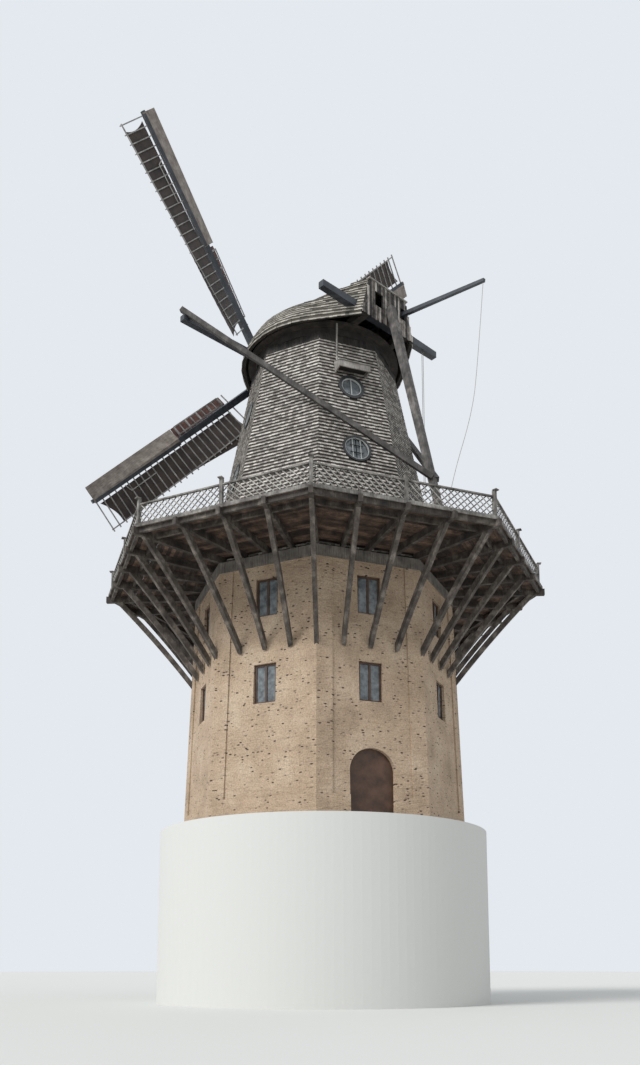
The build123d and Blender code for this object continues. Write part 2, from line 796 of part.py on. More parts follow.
rope_start = lever_end - (0, lever_end_width / 2, lever_end_width / 2 + brake_rope_diameter)
rope_points = [
    rope_start,
    (-lever_side, lever_end_distance - 470, 19800),
    (-lever_side + 100, lever_end_distance - 750, 17600),
    (-550, tail_pole_foot_distance + 60, 14800),
    (-330, tail_pole_foot_distance - 110, 13300),
]
with BuildPart() as brake_rope:
    with BuildLine() as rope_run:
        Polyline(*rope_points)
    with BuildSketch(Plane(rope_start, z_dir=rope_run.line % 0)):
        Circle(brake_rope_diameter / 2)
    sweep(transition=Transition.ROUND)
save(brake_rope.part, "brake_rope")


def arm_plane(index):
    """Plane of one sail on its stock: x out along the arm, z forward along the shaft."""
    a = radians(sail_turn + 90 * index)
    upward = Vector(0, sin(shaft_angle), cos(shaft_angle))
    arm = Vector(1, 0, 0) * cos(a) + upward * sin(a)
    offset = stock_spacing * (0.5 if index % 2 else -0.5)
    return Plane(hub + shaft_line * offset, x_dir=arm, z_dir=shaft_line)


arm_planes = [arm_plane(index) for index in range(4)]


def weather(x):
    return heel_weather + (tip_weather - heel_weather) * (x - sail_heel) / (sail_length - sail_heel)


def stock_half(x, full, tip):
    """Half a stock's width or depth at a distance along it."""
    return (full + (tip - full) * (x - stock_shoulder) / (sail_length - stock_shoulder)) / 2


def sail_section(x, turn):
    """Plane across a sail at a distance along it: x towards the leading edge, y forward."""
    return turned(Plane((x, 0, 0), x_dir=(0, 1, 0), z_dir=(1, 0, 0)), z=turn)


bar_pitch = (sail_length - stock_tip_width - sail_heel) / (bar_count - 1)
lead_edge = stock_tip_width / 2 + lead_width
bar_places = [sail_heel + step * bar_pitch for step in range(bar_count)]


def strip(stations, back, thickness):
    """Board or lath along a sail through stations, each a distance, a weather and two edges."""
    facet_loft(*[
        rectangle_on(sail_section(x, turn), outer - inner, thickness, (inner + outer) / 2, back + thickness / 2)
        for x, turn, inner, outer in stations
    ])


def over_bars(first, last, overhang):
    """Stations that lie flat on each bar from the first to the last, and run past both."""
    places = [(x + way * bar_width / 2, weather(x)) for x in bar_places[first:last + 1] for way in (-1, 1)]
    places[0] = (bar_places[first] - overhang, places[0][1])
    places[-1] = (bar_places[last] + overhang, places[-1][1])
    return places


def beside_stock(x, turn, front):
    """Nearest a board can come to the stock's side, for the board's front height."""
    half = stock_half(x, stock_width, stock_tip_width)
    return (half + front * sin(radians(turn))) / cos(radians(turn)) + seat_gap


with BuildPart() as sail_bars:
    for x in bar_places:
        with BuildSketch(sail_section(x, weather(x))):
            with Locations(((lead_edge - sail_width - bar_overhang) / 2, 0)):
                Rectangle(lead_edge + sail_width + bar_overhang, bar_depth)
        extrude(amount=bar_width / 2, both=True)

with BuildPart() as sail_frame:
    add(sail_bars.part)
    near, far = bar_places[0] - hem_overhang, bar_places[-1] + hem_overhang
    runs = [near + (far - near) * step / 4 for step in range(5)]
    edges = (-sail_width - hem_width / 2, hem_width / 2 - sail_width)
    strip([(x, weather(x), *edges) for x in runs], -hem_thickness / 2, hem_thickness)

with BuildPart() as windshaft:
    with BuildSketch(Plane(shaft_tail, z_dir=shaft_line)):
        Circle(shaft_diameter / 2)
    extrude(amount=(hub - shaft_tail).length + shaft_nose)

for index, label in enumerate(("inner_stock", "outer_stock")):
    with BuildPart() as stock:
        plane = arm_planes[index]
        facet_loft(*[
            rectangle_on(Plane(plane.from_local_coords((x, 0, 0)), x_dir=plane.y_dir, z_dir=plane.x_dir), width, depth)
            for x, width, depth in (
                (-sail_length, stock_tip_width, stock_tip_depth), (-stock_shoulder, stock_width, stock_depth),
                (stock_shoulder, stock_width, stock_depth), (sail_length, stock_tip_width, stock_tip_depth),
            )
        ])
        add([arm.location * sail_bars.part for arm in arm_planes[index::2]], mode=Mode.SUBTRACT)
    save(stock.part, label)
    with windshaft:
        add(stock.part, mode=Mode.SUBTRACT)
save(windshaft.part, "windshaft")


def on_each_arm(piece, label):
    """Save a sail's piece as one node with a copy on each arm."""
    save(Compound([solid for arm in arm_planes for solid in (arm.location * piece).solids()]), label)


on_each_arm(sail_frame.part, "sail_frames")

cloth_front = bar_depth / 2 + seat_gap
with BuildPart() as cloth:
    edges = (-sail_width, -stock_width / 2 - cloth_setback)
    stations = over_bars(1, bar_count - 2, bar_pitch / 4)
    strip([(x, turn, *edges) for x, turn in stations], cloth_front, cloth_thickness)
on_each_arm(cloth.part, "sail_cloths")

with BuildPart() as lead_board:
    stations = over_bars(1, nose_first_bar - 1, bar_pitch / 2 - board_gap)
    front = cloth_front + lead_thickness
    strip([(x, turn, beside_stock(x, turn, front), lead_edge) for x, turn in stations], cloth_front, lead_thickness)
on_each_arm(lead_board.part, "leading_boards")

# The nose boards run from the leading edge in a hollow curve and lap over the back of the stock.
nose_lines = 4
with BuildPart() as nose_board:
    rings = []
    for x, turn in over_bars(nose_first_bar, bar_count - 1, bar_pitch / 4):
        section = sail_section(x, turn)
        half, back = stock_half(x, stock_width, stock_tip_width), -stock_half(x, stock_depth, stock_tip_depth) - seat_gap
        tip, by_stock = (section.from_local_coords((u, -cloth_front, 0)) for u in (lead_edge, half))
        corner = Vector(x, half, back)
        front = [Vector(x, -half - nose_lap, back)]
        for line in range(nose_lines):
            share = 1 - line / (nose_lines - 1)
            aim = corner + (by_stock - corner) * nose_hollow * (1 - share)
            front.append(tip + (aim - tip) * share)
        rings.append(front + [point - (0, 0, nose_thickness) for point in reversed(front)])
    facet_loft(*rings)
on_each_arm(nose_board.part, "nose_boards")
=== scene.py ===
import random
from math import atan2, cos, hypot, pi, radians, sin, sqrt, tan

import bmesh
import bpy
from mathutils import Matrix, Vector


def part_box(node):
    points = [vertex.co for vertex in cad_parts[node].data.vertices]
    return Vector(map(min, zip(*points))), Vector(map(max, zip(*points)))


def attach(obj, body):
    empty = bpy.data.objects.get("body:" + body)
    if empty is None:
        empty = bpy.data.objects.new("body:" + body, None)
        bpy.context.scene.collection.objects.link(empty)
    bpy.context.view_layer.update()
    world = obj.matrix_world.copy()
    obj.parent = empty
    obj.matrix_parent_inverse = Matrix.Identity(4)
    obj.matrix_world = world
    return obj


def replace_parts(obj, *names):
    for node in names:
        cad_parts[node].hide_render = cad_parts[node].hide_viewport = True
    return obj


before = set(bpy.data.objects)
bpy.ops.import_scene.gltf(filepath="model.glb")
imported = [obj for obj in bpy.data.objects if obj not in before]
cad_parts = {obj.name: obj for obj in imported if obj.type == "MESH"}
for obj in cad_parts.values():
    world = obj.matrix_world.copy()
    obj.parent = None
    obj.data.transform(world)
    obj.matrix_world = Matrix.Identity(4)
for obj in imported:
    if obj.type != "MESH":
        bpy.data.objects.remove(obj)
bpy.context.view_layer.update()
print("frame loaded")

chance = random.Random(7)

# The eight-sided plan: corners on X and Y, faces half a side further round.
halfSide = radians(22.5)
flat = cos(halfSide)  # a face's distance from the middle, as a share of its corners'
faceAngles = [22.5 + 45 * step for step in range(8)]
windowFaces = faceAngles[1::2]
galleryDoorFaces = (faceAngles[0], faceAngles[4])
upright = Vector((0, 0, 1))

# The four sails: the sizes that the solids have, in metres and degrees.
sails = {"hub": Vector((0, -4.464, 25.01)), "tilt": 13.5, "turn": 43.0, "spacing": 0.38, "length": 12.74,
         "heel": 2.75, "heelWeather": 32.0, "tipWeather": 3.0, "bars": 25, "tipWidth": 0.17, "noseBar": 10}
barPitch = (sails["length"] - sails["tipWidth"] - sails["heel"]) / (sails["bars"] - 1)
shaftLine = Vector((0, -cos(radians(sails["tilt"])), sin(radians(sails["tilt"]))))
shaftUp = Vector((0, sin(radians(sails["tilt"])), cos(radians(sails["tilt"]))))


def levelDirections(angle):
    # Outward and across, on the level, for a face or a corner of the plan.
    a = radians(angle)
    return Vector((cos(a), sin(a), 0)), Vector((-sin(a), cos(a), 0))


def armDirection(index):
    a = radians(sails["turn"] + 90 * index)
    return Vector((1, 0, 0)) * cos(a) + shaftUp * sin(a)


def linear(hexColour):
    channels = [int(hexColour[place:place + 2], 16) / 255 for place in (1, 3, 5)]
    return [c / 12.92 if c <= 0.04045 else ((c + 0.055) / 1.055) ** 2.4 for c in channels] + [1]


def addNode(tree, kind, settings=None, links=None):
    # Settings: the node's own properties, values of its sockets, or a ramp's stops.
    # Links: sockets by name or number, each fed by a socket, or by a node's first output.
    node = tree.nodes.new(kind)
    for name, value in (settings or {}).items():
        if name == "stops":
            elements = node.color_ramp.elements
            while len(elements) < len(value):
                elements.new(0.5)
            for element, (place, colour) in zip(elements, value):
                element.position = place
                element.color = linear(colour)
        elif isinstance(name, str) and hasattr(node, name):
            setattr(node, name, value)
        else:
            node.inputs[name].default_value = value
    for name, source in (links or {}).items():
        tree.links.new(source.outputs[0] if isinstance(source, bpy.types.Node) else source, node.inputs[name])
    return node


def startMaterial(name, roughness, ior=1.5):
    # No finish here is bare metal. The patterns read Object coordinates, in metres.
    material = bpy.data.materials.new(name)
    material.use_nodes = True
    tree = material.node_tree
    shader = tree.nodes["Principled BSDF"]
    for socket, value in (("Roughness", roughness), ("IOR", ior), ("Metallic", 0.0)):
        shader.inputs[socket].default_value = value
    return material, tree, shader, addNode(tree, "ShaderNodeTexCoord").outputs["Object"]


def weatheredTimber(name, dark, middle, light, crack=0.03, roughness=0.8, alongSails=False):
    # Sawn softwood left to the weather: silver-grey blotches over brown, with cracks along it. Real cracks are a few
    # millimetres wide: they are drawn 30 mm wide so that they show.
    blotch, crackStretch, crackDepth = 0.45, 0.08, 0.006
    material, tree, shader, place = startMaterial(name, roughness)
    if alongSails:  # distances across and along the nearer pair of sails
        fromHub = addNode(tree, "ShaderNodeVectorMath", {"operation": "SUBTRACT", 1: sails["hub"]}, {0: place})
        runs = []
        for index in (0, 1):
            run = addNode(tree, "ShaderNodeVectorMath", {"operation": "DOT_PRODUCT", 1: armDirection(index)},
                          {0: fromHub})
            runs.append(addNode(tree, "ShaderNodeMath", {"operation": "ABSOLUTE"}, {0: run.outputs["Value"]}))
        across, along = (addNode(tree, "ShaderNodeMath", {"operation": way}, {0: runs[0], 1: runs[1]})
                         for way in ("MINIMUM", "MAXIMUM"))
        place = addNode(tree, "ShaderNodeCombineXYZ", links={"X": across, "Z": along})
    blotches = addNode(tree, "ShaderNodeTexNoise", {"Scale": 1 / blotch, "Detail": 4.0, "Roughness": 0.6},
                       {"Vector": place})
    boardTone = addNode(tree, "ShaderNodeAttribute", {"attribute_name": "tone"})
    toned = addNode(tree, "ShaderNodeMath", {"operation": "ADD"}, {0: blotches, 1: boardTone.outputs["Fac"]})
    base = addNode(tree, "ShaderNodeValToRGB", {"stops": [(0.3, dark), (0.52, middle), (0.75, light)]}, {"Fac": toned})
    drawn = addNode(tree, "ShaderNodeMapping", {"Scale": (1 / crack, 1 / crack, crackStretch / crack)},
                    {"Vector": place})
    cracks = addNode(tree, "ShaderNodeTexNoise", {"Scale": 1.0, "Detail": 3.0, "Roughness": 0.6}, {"Vector": drawn})
    streaks = addNode(tree, "ShaderNodeValToRGB", {"stops": [(0.3, "#6e6a66"), (0.55, "#ffffff")]}, {"Fac": cracks})
    colour = addNode(tree, "ShaderNodeMix", {"data_type": "RGBA", "blend_type": "MULTIPLY", 0: 0.6},
                     {6: base, 7: streaks})
    relief = addNode(tree, "ShaderNodeBump", {"Strength": 0.7, "Distance": crackDepth}, {"Height": cracks})
    tree.links.new(colour.outputs[2], shader.inputs["Base Color"])
    tree.links.new(relief.outputs["Normal"], shader.inputs["Normal"])
    return material


def splitShingles(name, dark, middle, light, shadow):
    # Split larch shingles: silver on the exposed butts, nearly black under the next course, darkened there by damp and
    # by painted shade for the shadow of the butts above. Their fibres, about a millimetre wide, are drawn 20 mm wide so
    # that they show.
    patch, fibre, fibreStretch, fibreDepth = 1.3, 0.02, 0.12, 0.004
    material, tree, shader, place = startMaterial(name, 0.85)
    patches = addNode(tree, "ShaderNodeTexNoise", {"Scale": 1 / patch, "Detail": 4.0, "Roughness": 0.6},
                      {"Vector": place})
    shingleTone = addNode(tree, "ShaderNodeAttribute", {"attribute_name": "tone"})
    toned = addNode(tree, "ShaderNodeMath", {"operation": "MULTIPLY_ADD", 1: 0.25},
                    {0: patches, 2: shingleTone.outputs["Fac"]})
    base = addNode(tree, "ShaderNodeValToRGB", {"stops": [(0.1, dark), (0.42, middle), (0.75, light)]}, {"Fac": toned})
    rise = addNode(tree, "ShaderNodeAttribute", {"attribute_name": "rise"})
    # Darker towards each shingle's top: damp staining, and painted shade under the next course's butts.
    dampAndShade = addNode(tree, "ShaderNodeValToRGB", {"stops": [(0.24, "#ffffff"), (0.42, shadow)]},
                   {"Fac": rise.outputs["Fac"]})
    drawn = addNode(tree, "ShaderNodeMapping", {"Scale": (1 / fibre, 1 / fibre, fibreStretch / fibre)},
                    {"Vector": place})
    fibres = addNode(tree, "ShaderNodeTexNoise", {"Scale": 1.0, "Detail": 3.0, "Roughness": 0.6}, {"Vector": drawn})
    lines = addNode(tree, "ShaderNodeValToRGB", {"stops": [(0.3, "#8b8886"), (0.6, "#ffffff")]}, {"Fac": fibres})
    worn = addNode(tree, "ShaderNodeMix", {"data_type": "RGBA", "blend_type": "MULTIPLY", 0: 0.55}, {6: base, 7: lines})
    colour = addNode(tree, "ShaderNodeMix", {"data_type": "RGBA", "blend_type": "MULTIPLY", 0: 1.0},
                     {6: worn.outputs[2], 7: dampAndShade})
    relief = addNode(tree, "ShaderNodeBump", {"Strength": 0.7, "Distance": fibreDepth}, {"Height": fibres})
    tree.links.new(colour.outputs[2], shader.inputs["Base Color"])
    tree.links.new(relief.outputs["Normal"], shader.inputs["Normal"])
    return material


def plasteredBrick():
    # Lime plaster worn thin over brickwork of 77 mm courses: tan skin, dark open joints in broken rows.
    wall = {"radius": 6.2, "brick": 0.25, "course": 0.077, "joint": 0.006, "skinPatch": 1.6, "barePatch": 0.9,
            "pitLength": 0.26, "pitHeight": 0.12, "pitPatch": 0.7, "pitDepth": 0.02, "grit": 0.05}
    material, tree, shader, place = startMaterial("limePlasterOverBrick", 0.9)
    # The wall unrolled about the mill's own axis, so that the courses run level round all eight sides.
    parts = addNode(tree, "ShaderNodeSeparateXYZ", links={"Vector": place})
    turn = addNode(tree, "ShaderNodeMath", {"operation": "ARCTAN2"}, {0: parts.outputs["Y"], 1: parts.outputs["X"]})
    wrap = addNode(tree, "ShaderNodeMath", {"operation": "MULTIPLY", 1: wall["radius"]}, {0: turn})
    sheet = addNode(tree, "ShaderNodeCombineXYZ", links={"X": wrap, "Y": parts.outputs["Z"]})
    bricks = addNode(tree, "ShaderNodeTexBrick",
                     {"Color1": linear("#a5896d"), "Color2": linear("#bda287"), "Mortar": linear("#c9bba5"),
                      "Scale": 1.0, "Mortar Size": wall["joint"], "Brick Width": wall["brick"],
                      "Row Height": wall["course"], "Bias": 0.1}, {"Vector": sheet})
    broad = addNode(tree, "ShaderNodeTexNoise", {"Scale": 1 / wall["skinPatch"], "Detail": 4.0, "Roughness": 0.6},
                    {"Vector": place})
    skin = addNode(tree, "ShaderNodeValToRGB", {"stops": [(0.3, "#a08b74"), (0.5, "#b8a189"), (0.72, "#cab69e")]},
                   {"Fac": broad})
    thin = addNode(tree, "ShaderNodeTexNoise", {"Scale": 1 / wall["barePatch"], "Detail": 5.0, "Roughness": 0.6},
                   {"Vector": place})
    bare = addNode(tree, "ShaderNodeValToRGB", {"stops": [(0.42, "#000000"), (0.6, "#b0b0b0")]}, {"Fac": thin})
    plain = addNode(tree, "ShaderNodeMix", {"data_type": "RGBA"}, {0: bare, 6: skin, 7: bricks})
    # Open joints: cells as long as a brick, dark at their middles, and kept in patches only.
    cells = addNode(tree, "ShaderNodeMapping", {"Scale": (1 / wall["pitLength"], 1 / wall["pitHeight"], 1)},
                    {"Vector": sheet})
    pits = addNode(tree, "ShaderNodeTexVoronoi", {"Scale": 1.0, "Randomness": 0.7}, {"Vector": cells})
    holes = addNode(tree, "ShaderNodeValToRGB", {"stops": [(0.2, "#000000"), (0.3, "#ffffff")]}, {"Fac": pits})
    rows = addNode(tree, "ShaderNodeMapping", {"Scale": [share / wall["pitPatch"] for share in (1, 1, 3)]},
                   {"Vector": place})
    patches = addNode(tree, "ShaderNodeTexNoise", {"Scale": 1.0, "Detail": 3.0, "Roughness": 0.6}, {"Vector": rows})
    sound = addNode(tree, "ShaderNodeValToRGB", {"stops": [(0.44, "#ffffff"), (0.56, "#000000")]}, {"Fac": patches})
    whole = addNode(tree, "ShaderNodeMix", {"data_type": "RGBA", "blend_type": "ADD", 0: 1.0}, {6: holes, 7: sound})
    pitted = addNode(tree, "ShaderNodeMix", {"data_type": "RGBA", 6: linear("#40342a")},
                     {0: whole.outputs[2], 7: plain.outputs[2]})
    grains = addNode(tree, "ShaderNodeTexNoise", {"Scale": 1 / wall["grit"], "Detail": 5.0, "Roughness": 0.6},
                     {"Vector": place})
    grit = addNode(tree, "ShaderNodeValToRGB", {"stops": [(0.3, "#9a9a9a"), (0.6, "#ffffff")]}, {"Fac": grains})
    colour = addNode(tree, "ShaderNodeMix", {"data_type": "RGBA", "blend_type": "MULTIPLY", 0: 0.6},
                     {6: pitted.outputs[2], 7: grit})
    relief = addNode(tree, "ShaderNodeBump", {"Strength": 0.7, "Distance": wall["pitDepth"]},
                     {"Height": whole.outputs[2]})
    tree.links.new(colour.outputs[2], shader.inputs["Base Color"])
    tree.links.new(relief.outputs["Normal"], shader.inputs["Normal"])
    return material


def paintedTimber(name, dark, light, roughness=0.45):
    # Oil paint on planed timber, chalky in patches. Brush marks are drawn 20 mm wide, ten times
    # too coarse, so that they show.
    chalkPatch, brush, brushStretch, brushDepth = 0.5, 0.02, 0.2, 0.002
    material, tree, shader, place = startMaterial(name, roughness)
    chalk = addNode(tree, "ShaderNodeTexNoise", {"Scale": 1 / chalkPatch, "Detail": 5.0, "Roughness": 0.6},
                    {"Vector": place})
    colour = addNode(tree, "ShaderNodeValToRGB", {"stops": [(0.35, dark), (0.7, light)]}, {"Fac": chalk})
    drawn = addNode(tree, "ShaderNodeMapping", {"Scale": (1 / brush, 1 / brush, brushStretch / brush)},
                    {"Vector": place})
    marks = addNode(tree, "ShaderNodeTexNoise", {"Scale": 1.0, "Detail": 2.0, "Roughness": 0.6}, {"Vector": drawn})
    relief = addNode(tree, "ShaderNodeBump", {"Strength": 0.4, "Distance": brushDepth}, {"Height": marks})
    tree.links.new(colour.outputs["Color"], shader.inputs["Base Color"])
    tree.links.new(relief.outputs["Normal"], shader.inputs["Normal"])
    return material


def sailCanvas():
    # Tarred canvas: brown-black, with the weave's dull nap drawn 12 mm coarse so that it shows.
    fold, thread, napDepth = 0.5, 0.012, 0.003
    material, tree, shader, place = startMaterial("tarredCanvas", 0.9)
    folds = addNode(tree, "ShaderNodeTexNoise", {"Scale": 1 / fold, "Detail": 4.0, "Roughness": 0.6}, {"Vector": place})
    colour = addNode(tree, "ShaderNodeValToRGB", {"stops": [(0.3, "#2c2624"), (0.7, "#473d38")]}, {"Fac": folds})
    weave = addNode(tree, "ShaderNodeTexNoise", {"Scale": 1 / thread, "Detail": 2.0, "Roughness": 0.6},
                    {"Vector": place})
    relief = addNode(tree, "ShaderNodeBump", {"Strength": 0.4, "Distance": napDepth}, {"Height": weave})
    shader.inputs["Sheen Weight"].default_value = 0.15
    tree.links.new(colour.outputs["Color"], shader.inputs["Base Color"])
    tree.links.new(relief.outputs["Normal"], shader.inputs["Normal"])
    return material


def windowGlass():
    # Old drawn glass over dark rooms: it mostly mirrors the sky, in ripples a quarter of a metre long.
    rippleLength, rippleDepth = 0.25, 0.01
    material, tree, shader, place = startMaterial("oldWindowGlass", 0.12, 1.52)
    ripple = addNode(tree, "ShaderNodeTexNoise", {"Scale": 1 / rippleLength, "Detail": 2.0, "Roughness": 0.6},
                     {"Vector": place})
    colour = addNode(tree, "ShaderNodeValToRGB", {"stops": [(0.3, "#4c5053"), (0.7, "#7d8487")]}, {"Fac": ripple})
    relief = addNode(tree, "ShaderNodeBump", {"Strength": 0.3, "Distance": rippleDepth}, {"Height": ripple})
    tree.links.new(colour.outputs["Color"], shader.inputs["Base Color"])
    tree.links.new(relief.outputs["Normal"], shader.inputs["Normal"])
    return material


def hempRope():
    # Three-strand hemp, bleached, with its lay as slanting bands about 23 mm apart.
    material, tree, shader, place = startMaterial("bleachedHemp", 0.85)
    lay = addNode(tree, "ShaderNodeTexWave", {"bands_direction": "DIAGONAL", "Scale": 16.0}, {"Vector": place})
    colour = addNode(tree, "ShaderNodeValToRGB", {"stops": [(0.2, "#8d8a82"), (0.8, "#b9b6ac")]},
                     {"Fac": lay.outputs["Fac"]})
    relief = addNode(tree, "ShaderNodeBump", {"Strength": 0.7, "Distance": 0.004}, {"Height": lay.outputs["Fac"]})
    tree.links.new(colour.outputs["Color"], shader.inputs["Base Color"])
    tree.links.new(relief.outputs["Normal"], shader.inputs["Normal"])
    return material


finishes = {
    "masonry": plasteredBrick(),
    "bandStone": weatheredTimber("cementRenderBand", "#5c5852", "#77716a", "#8f8981", 0.05, 0.9),  # weathers alike
    "timber": weatheredTimber("weatheredOak", "#2a2522", "#4a433d", "#7d756c"),
    "struts": weatheredTimber("streakedStrutOak", "#37312d", "#5a524b", "#968d83"),
    "tailTimber": weatheredTimber("greyTailPoleOak", "#3a3735", "#5f5b58", "#918c87"),
    "braces": weatheredTimber("darkBraceOak", "#2f2c2a", "#4c4845", "#6e6a66"),
    "floor": weatheredTimber("drySpruceFloor", "#5a4a3a", "#7d6a55", "#9a866e"),
    # Near-black oak for parts seen only in shade: painted shade on the curb under the eave, behind the gaps of the
    # gable boards and inside the hood.
    "dark": weatheredTimber("shadeBlackOak", "#1c1917", "#2b2724", "#3d3833"),
    # Near-black boards under the cap's shingles and eaves: painted shade, seen in the gaps between the shingles.
    "soffit": weatheredTimber("soffitShadeBoards", "#221e1b", "#37312c", "#514942"),
    "deck": weatheredTimber("weatheredDeckPine", "#2a211c", "#4f3f35", "#7d6656"),
    "rail": weatheredTimber("silveredRailPine", "#443f3c", "#7c7873", "#aeaaa3"),
    "boards": weatheredTimber("silveredBoards", "#332f2c", "#777069", "#c0b9b0"),
    "verge": weatheredTimber("silveredVergeBoards", "#77726c", "#9a958f", "#b9b4ad"),
    "noseBoards": weatheredTimber("beigeNoseBoards", "#6f6660", "#8d847c", "#aba39a", alongSails=True),
    "redBoards": weatheredTimber("redBrownLeadingBoards", "#4a322e", "#6b4c44", "#8a6a5f", alongSails=True),
    "paleLaths": weatheredTimber("paleSailLaths", "#7c7a78", "#9b9996", "#bcbab7"),
    "shingles": splitShingles("greySmockShingles", "#655f58", "#a59e96", "#e3ddd4", "#3a3633"),
    "roofShingles": splitShingles("greyRoofShingles", "#68645c", "#a39e94", "#dcd6cb", "#6a665f"),
    "darkPaint": paintedTimber("blueBlackOilPaint", "#23272c", "#41464d"),
    "joinery": paintedTimber("brownJoineryPaint", "#3a2618", "#5a4030", 0.5),
    "windowRing": paintedTimber("darkWindowPaintAndShade", "#232424", "#3b3d3d", 0.5),
    "sashPaint": paintedTimber("chalkyWhiteSashPaint", "#9fa1a0", "#c3c5c3", 0.5),
    "canvas": sailCanvas(),
    "glass": windowGlass(),
    "rope": hempRope(),
}
nodeFinishes = {
    "masonry": ["masonry_base"],
    "bandStone": ["tower_band"],
    "floor": ["ground_floor", "tower_floors", "smock_floors"],
    "timber": ["gallery_joists", "edge_trimmers", "deck_bearers"],
    "struts": ["gallery_struts"],
    "tailTimber": ["tail_pole"],
    "braces": ["tail_braces"],
    "dark": ["curb_ring", "cap_gables"],
    "soffit": ["cap_shell", "cap_frame"],
    "rail": ["kerb_boards", "railing_posts", "handrails", "railing_lattice_1", "railing_lattice_2", "hood_pole"],
    "verge": ["gable_verges", "window_hood"],
    "deck": ["deck_boards"],
    "noseBoards": ["nose_boards"],
    "redBoards": ["leading_boards"],
    "paleLaths": ["sail_frames"],
    "shingles": [f"smock_wall_{index}" for index in range(1, 9)],
    "darkPaint": ["windshaft", "inner_stock", "outer_stock", "short_spreader", "long_spreader", "brake_lever"],
    "joinery": ["entrance_doors", "gallery_doors", "tower_window_frames"],
    "windowRing": ["round_window_frames"],
    "canvas": ["sail_cloths"],
    "glass": ["tower_window_glass", "round_window_glass"],
    "rope": ["hoist_ropes", "brake_rope"],
}
for finishName, nodeNames in nodeFinishes.items():
    for nodeName in nodeNames:
        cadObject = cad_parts[nodeName]
        cadObject.data.materials.clear()
        cadObject.data.materials.append(finishes[finishName])
print("finishes ready")


def linkObject(name, data):
    made = bpy.data.objects.new(name, data)
    bpy.context.scene.collection.objects.link(made)
    return made


# Camera at the photograph's place, in metres: it looks up from below the mill's foot.
view = {"place": (29.44, 32.15, -5.87), "turn": 137.72, "pitch": 8.594, "focalPixels": 955.3, "horizonRow": 821.0,
        "rows": 1065, "sensor": 36, "sightEnd": 500}
camera = linkObject("camera", bpy.data.cameras.new("camera"))
camera.location = view["place"]
camera.rotation_euler = (radians(90 + view["pitch"]), 0, radians(view["turn"]))
camera.data.sensor_width = view["sensor"]
camera.data.lens = view["sensor"] * view["focalPixels"] / view["rows"]
camera.data.shift_y = (view["horizonRow"] - view["rows"] / 2) / view["rows"]
camera.data.clip_end = view["sightEnd"]
bpy.context.scene.camera = camera


def meshOf(name, bm, material):
    mesh = bpy.data.meshes.new(name)
    bm.to_mesh(mesh)
    bm.free()
    mesh.materials.append(material)
    return mesh


def finishPiece(name, bm, body, finish):
    piece = linkObject(name, meshOf(name, bm, finishes[finish]))
    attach(piece, body)
    return piece


def newShape():
    # "tone" shades each board or shingle by itself; "rise" tells a shingle's butt from its top.
    bm = bmesh.new()
    bm.faces.layers.float.new("tone")
    bm.verts.layers.float.new("rise")
    return bm


def placeOf(directions, centre):
    # A turn whose columns are three directions, moved to a point.
    turn = Matrix(directions).transposed().to_4x4()
    turn.translation = centre
    return turn


def setTone(bm, verts, tone):
    for face in {face for vert in verts for face in vert.link_faces}:
        face[bm.faces.layers.float["tone"]] = tone


def addBlock(bm, directions, centre, size, tone=0.0):
    # A board or bar as a block, with a size along each of its three directions.
    scale = Matrix.Diagonal((*size, 1))
    verts = bmesh.ops.create_cube(bm, size=1.0, matrix=placeOf(directions, centre) @ scale)["verts"]
    setTone(bm, verts, tone)
    return verts


def barBetween(bm, start, end, width, depth, front, tone=0.0):
    # A bar from point to point: its width lies across the way it faces, its depth along that way.
    along = (end - start).normalized()
    side = front.cross(along).normalized()
    size = ((end - start).length, width, depth)
    return addBlock(bm, (along, side, along.cross(side)), (start + end) / 2, size, tone)


wedge = {"lean": 0.66, "thinning": 0.75}  # as shares of a shingle's thickness at its butt


def addShingle(bm, butt, across, up, width, length, thickness, tone):
    # A split wedge leaning back to the wall: "rise" runs from 0 at its butt to 1 at its thin top.
    lean = thickness * wedge["lean"] / length
    up = (up - across.cross(up) * lean).normalized()
    verts = bmesh.ops.create_cube(bm, size=1.0)["verts"]
    for vert in verts:
        rise = vert.co.y + 0.5
        vert[bm.verts.layers.float["rise"]] = rise
        left = 1 - wedge["thinning"] * rise
        vert.co = (vert.co.x * width, rise * length, (vert.co.z + 0.5) * thickness * left)
    bmesh.ops.transform(bm, matrix=placeOf((across, up, across.cross(up)), butt), verts=verts)
    setTone(bm, verts, tone)


def cordAlong(name, points, diameter, body):
    curve = bpy.data.curves.new(name, "CURVE")
    curve.dimensions = "3D"
    curve.bevel_depth = diameter / 2
    curve.bevel_resolution = 3
    curve.use_fill_caps = True
    spline = curve.splines.new("NURBS")
    spline.points.add(len(points) - 1)
    for point, place in zip(spline.points, points):
        point.co = (*place, 1)
    spline.order_u = 3
    spline.use_endpoint_u = True
    curve.materials.append(finishes["rope"])
    piece = linkObject(name, curve)
    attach(piece, body)
    bm = newShape()
    bmesh.ops.create_icosphere(bm, subdivisions=3, radius=diameter * ropes["knot"])
    bmesh.ops.scale(bm, vec=(1, 1, ropes["knotStretch"]), verts=bm.verts)
    bmesh.ops.translate(bm, vec=points[-1], verts=bm.verts)
    knot = finishPiece(name + "Knot", bm, body, "rope")
    return piece


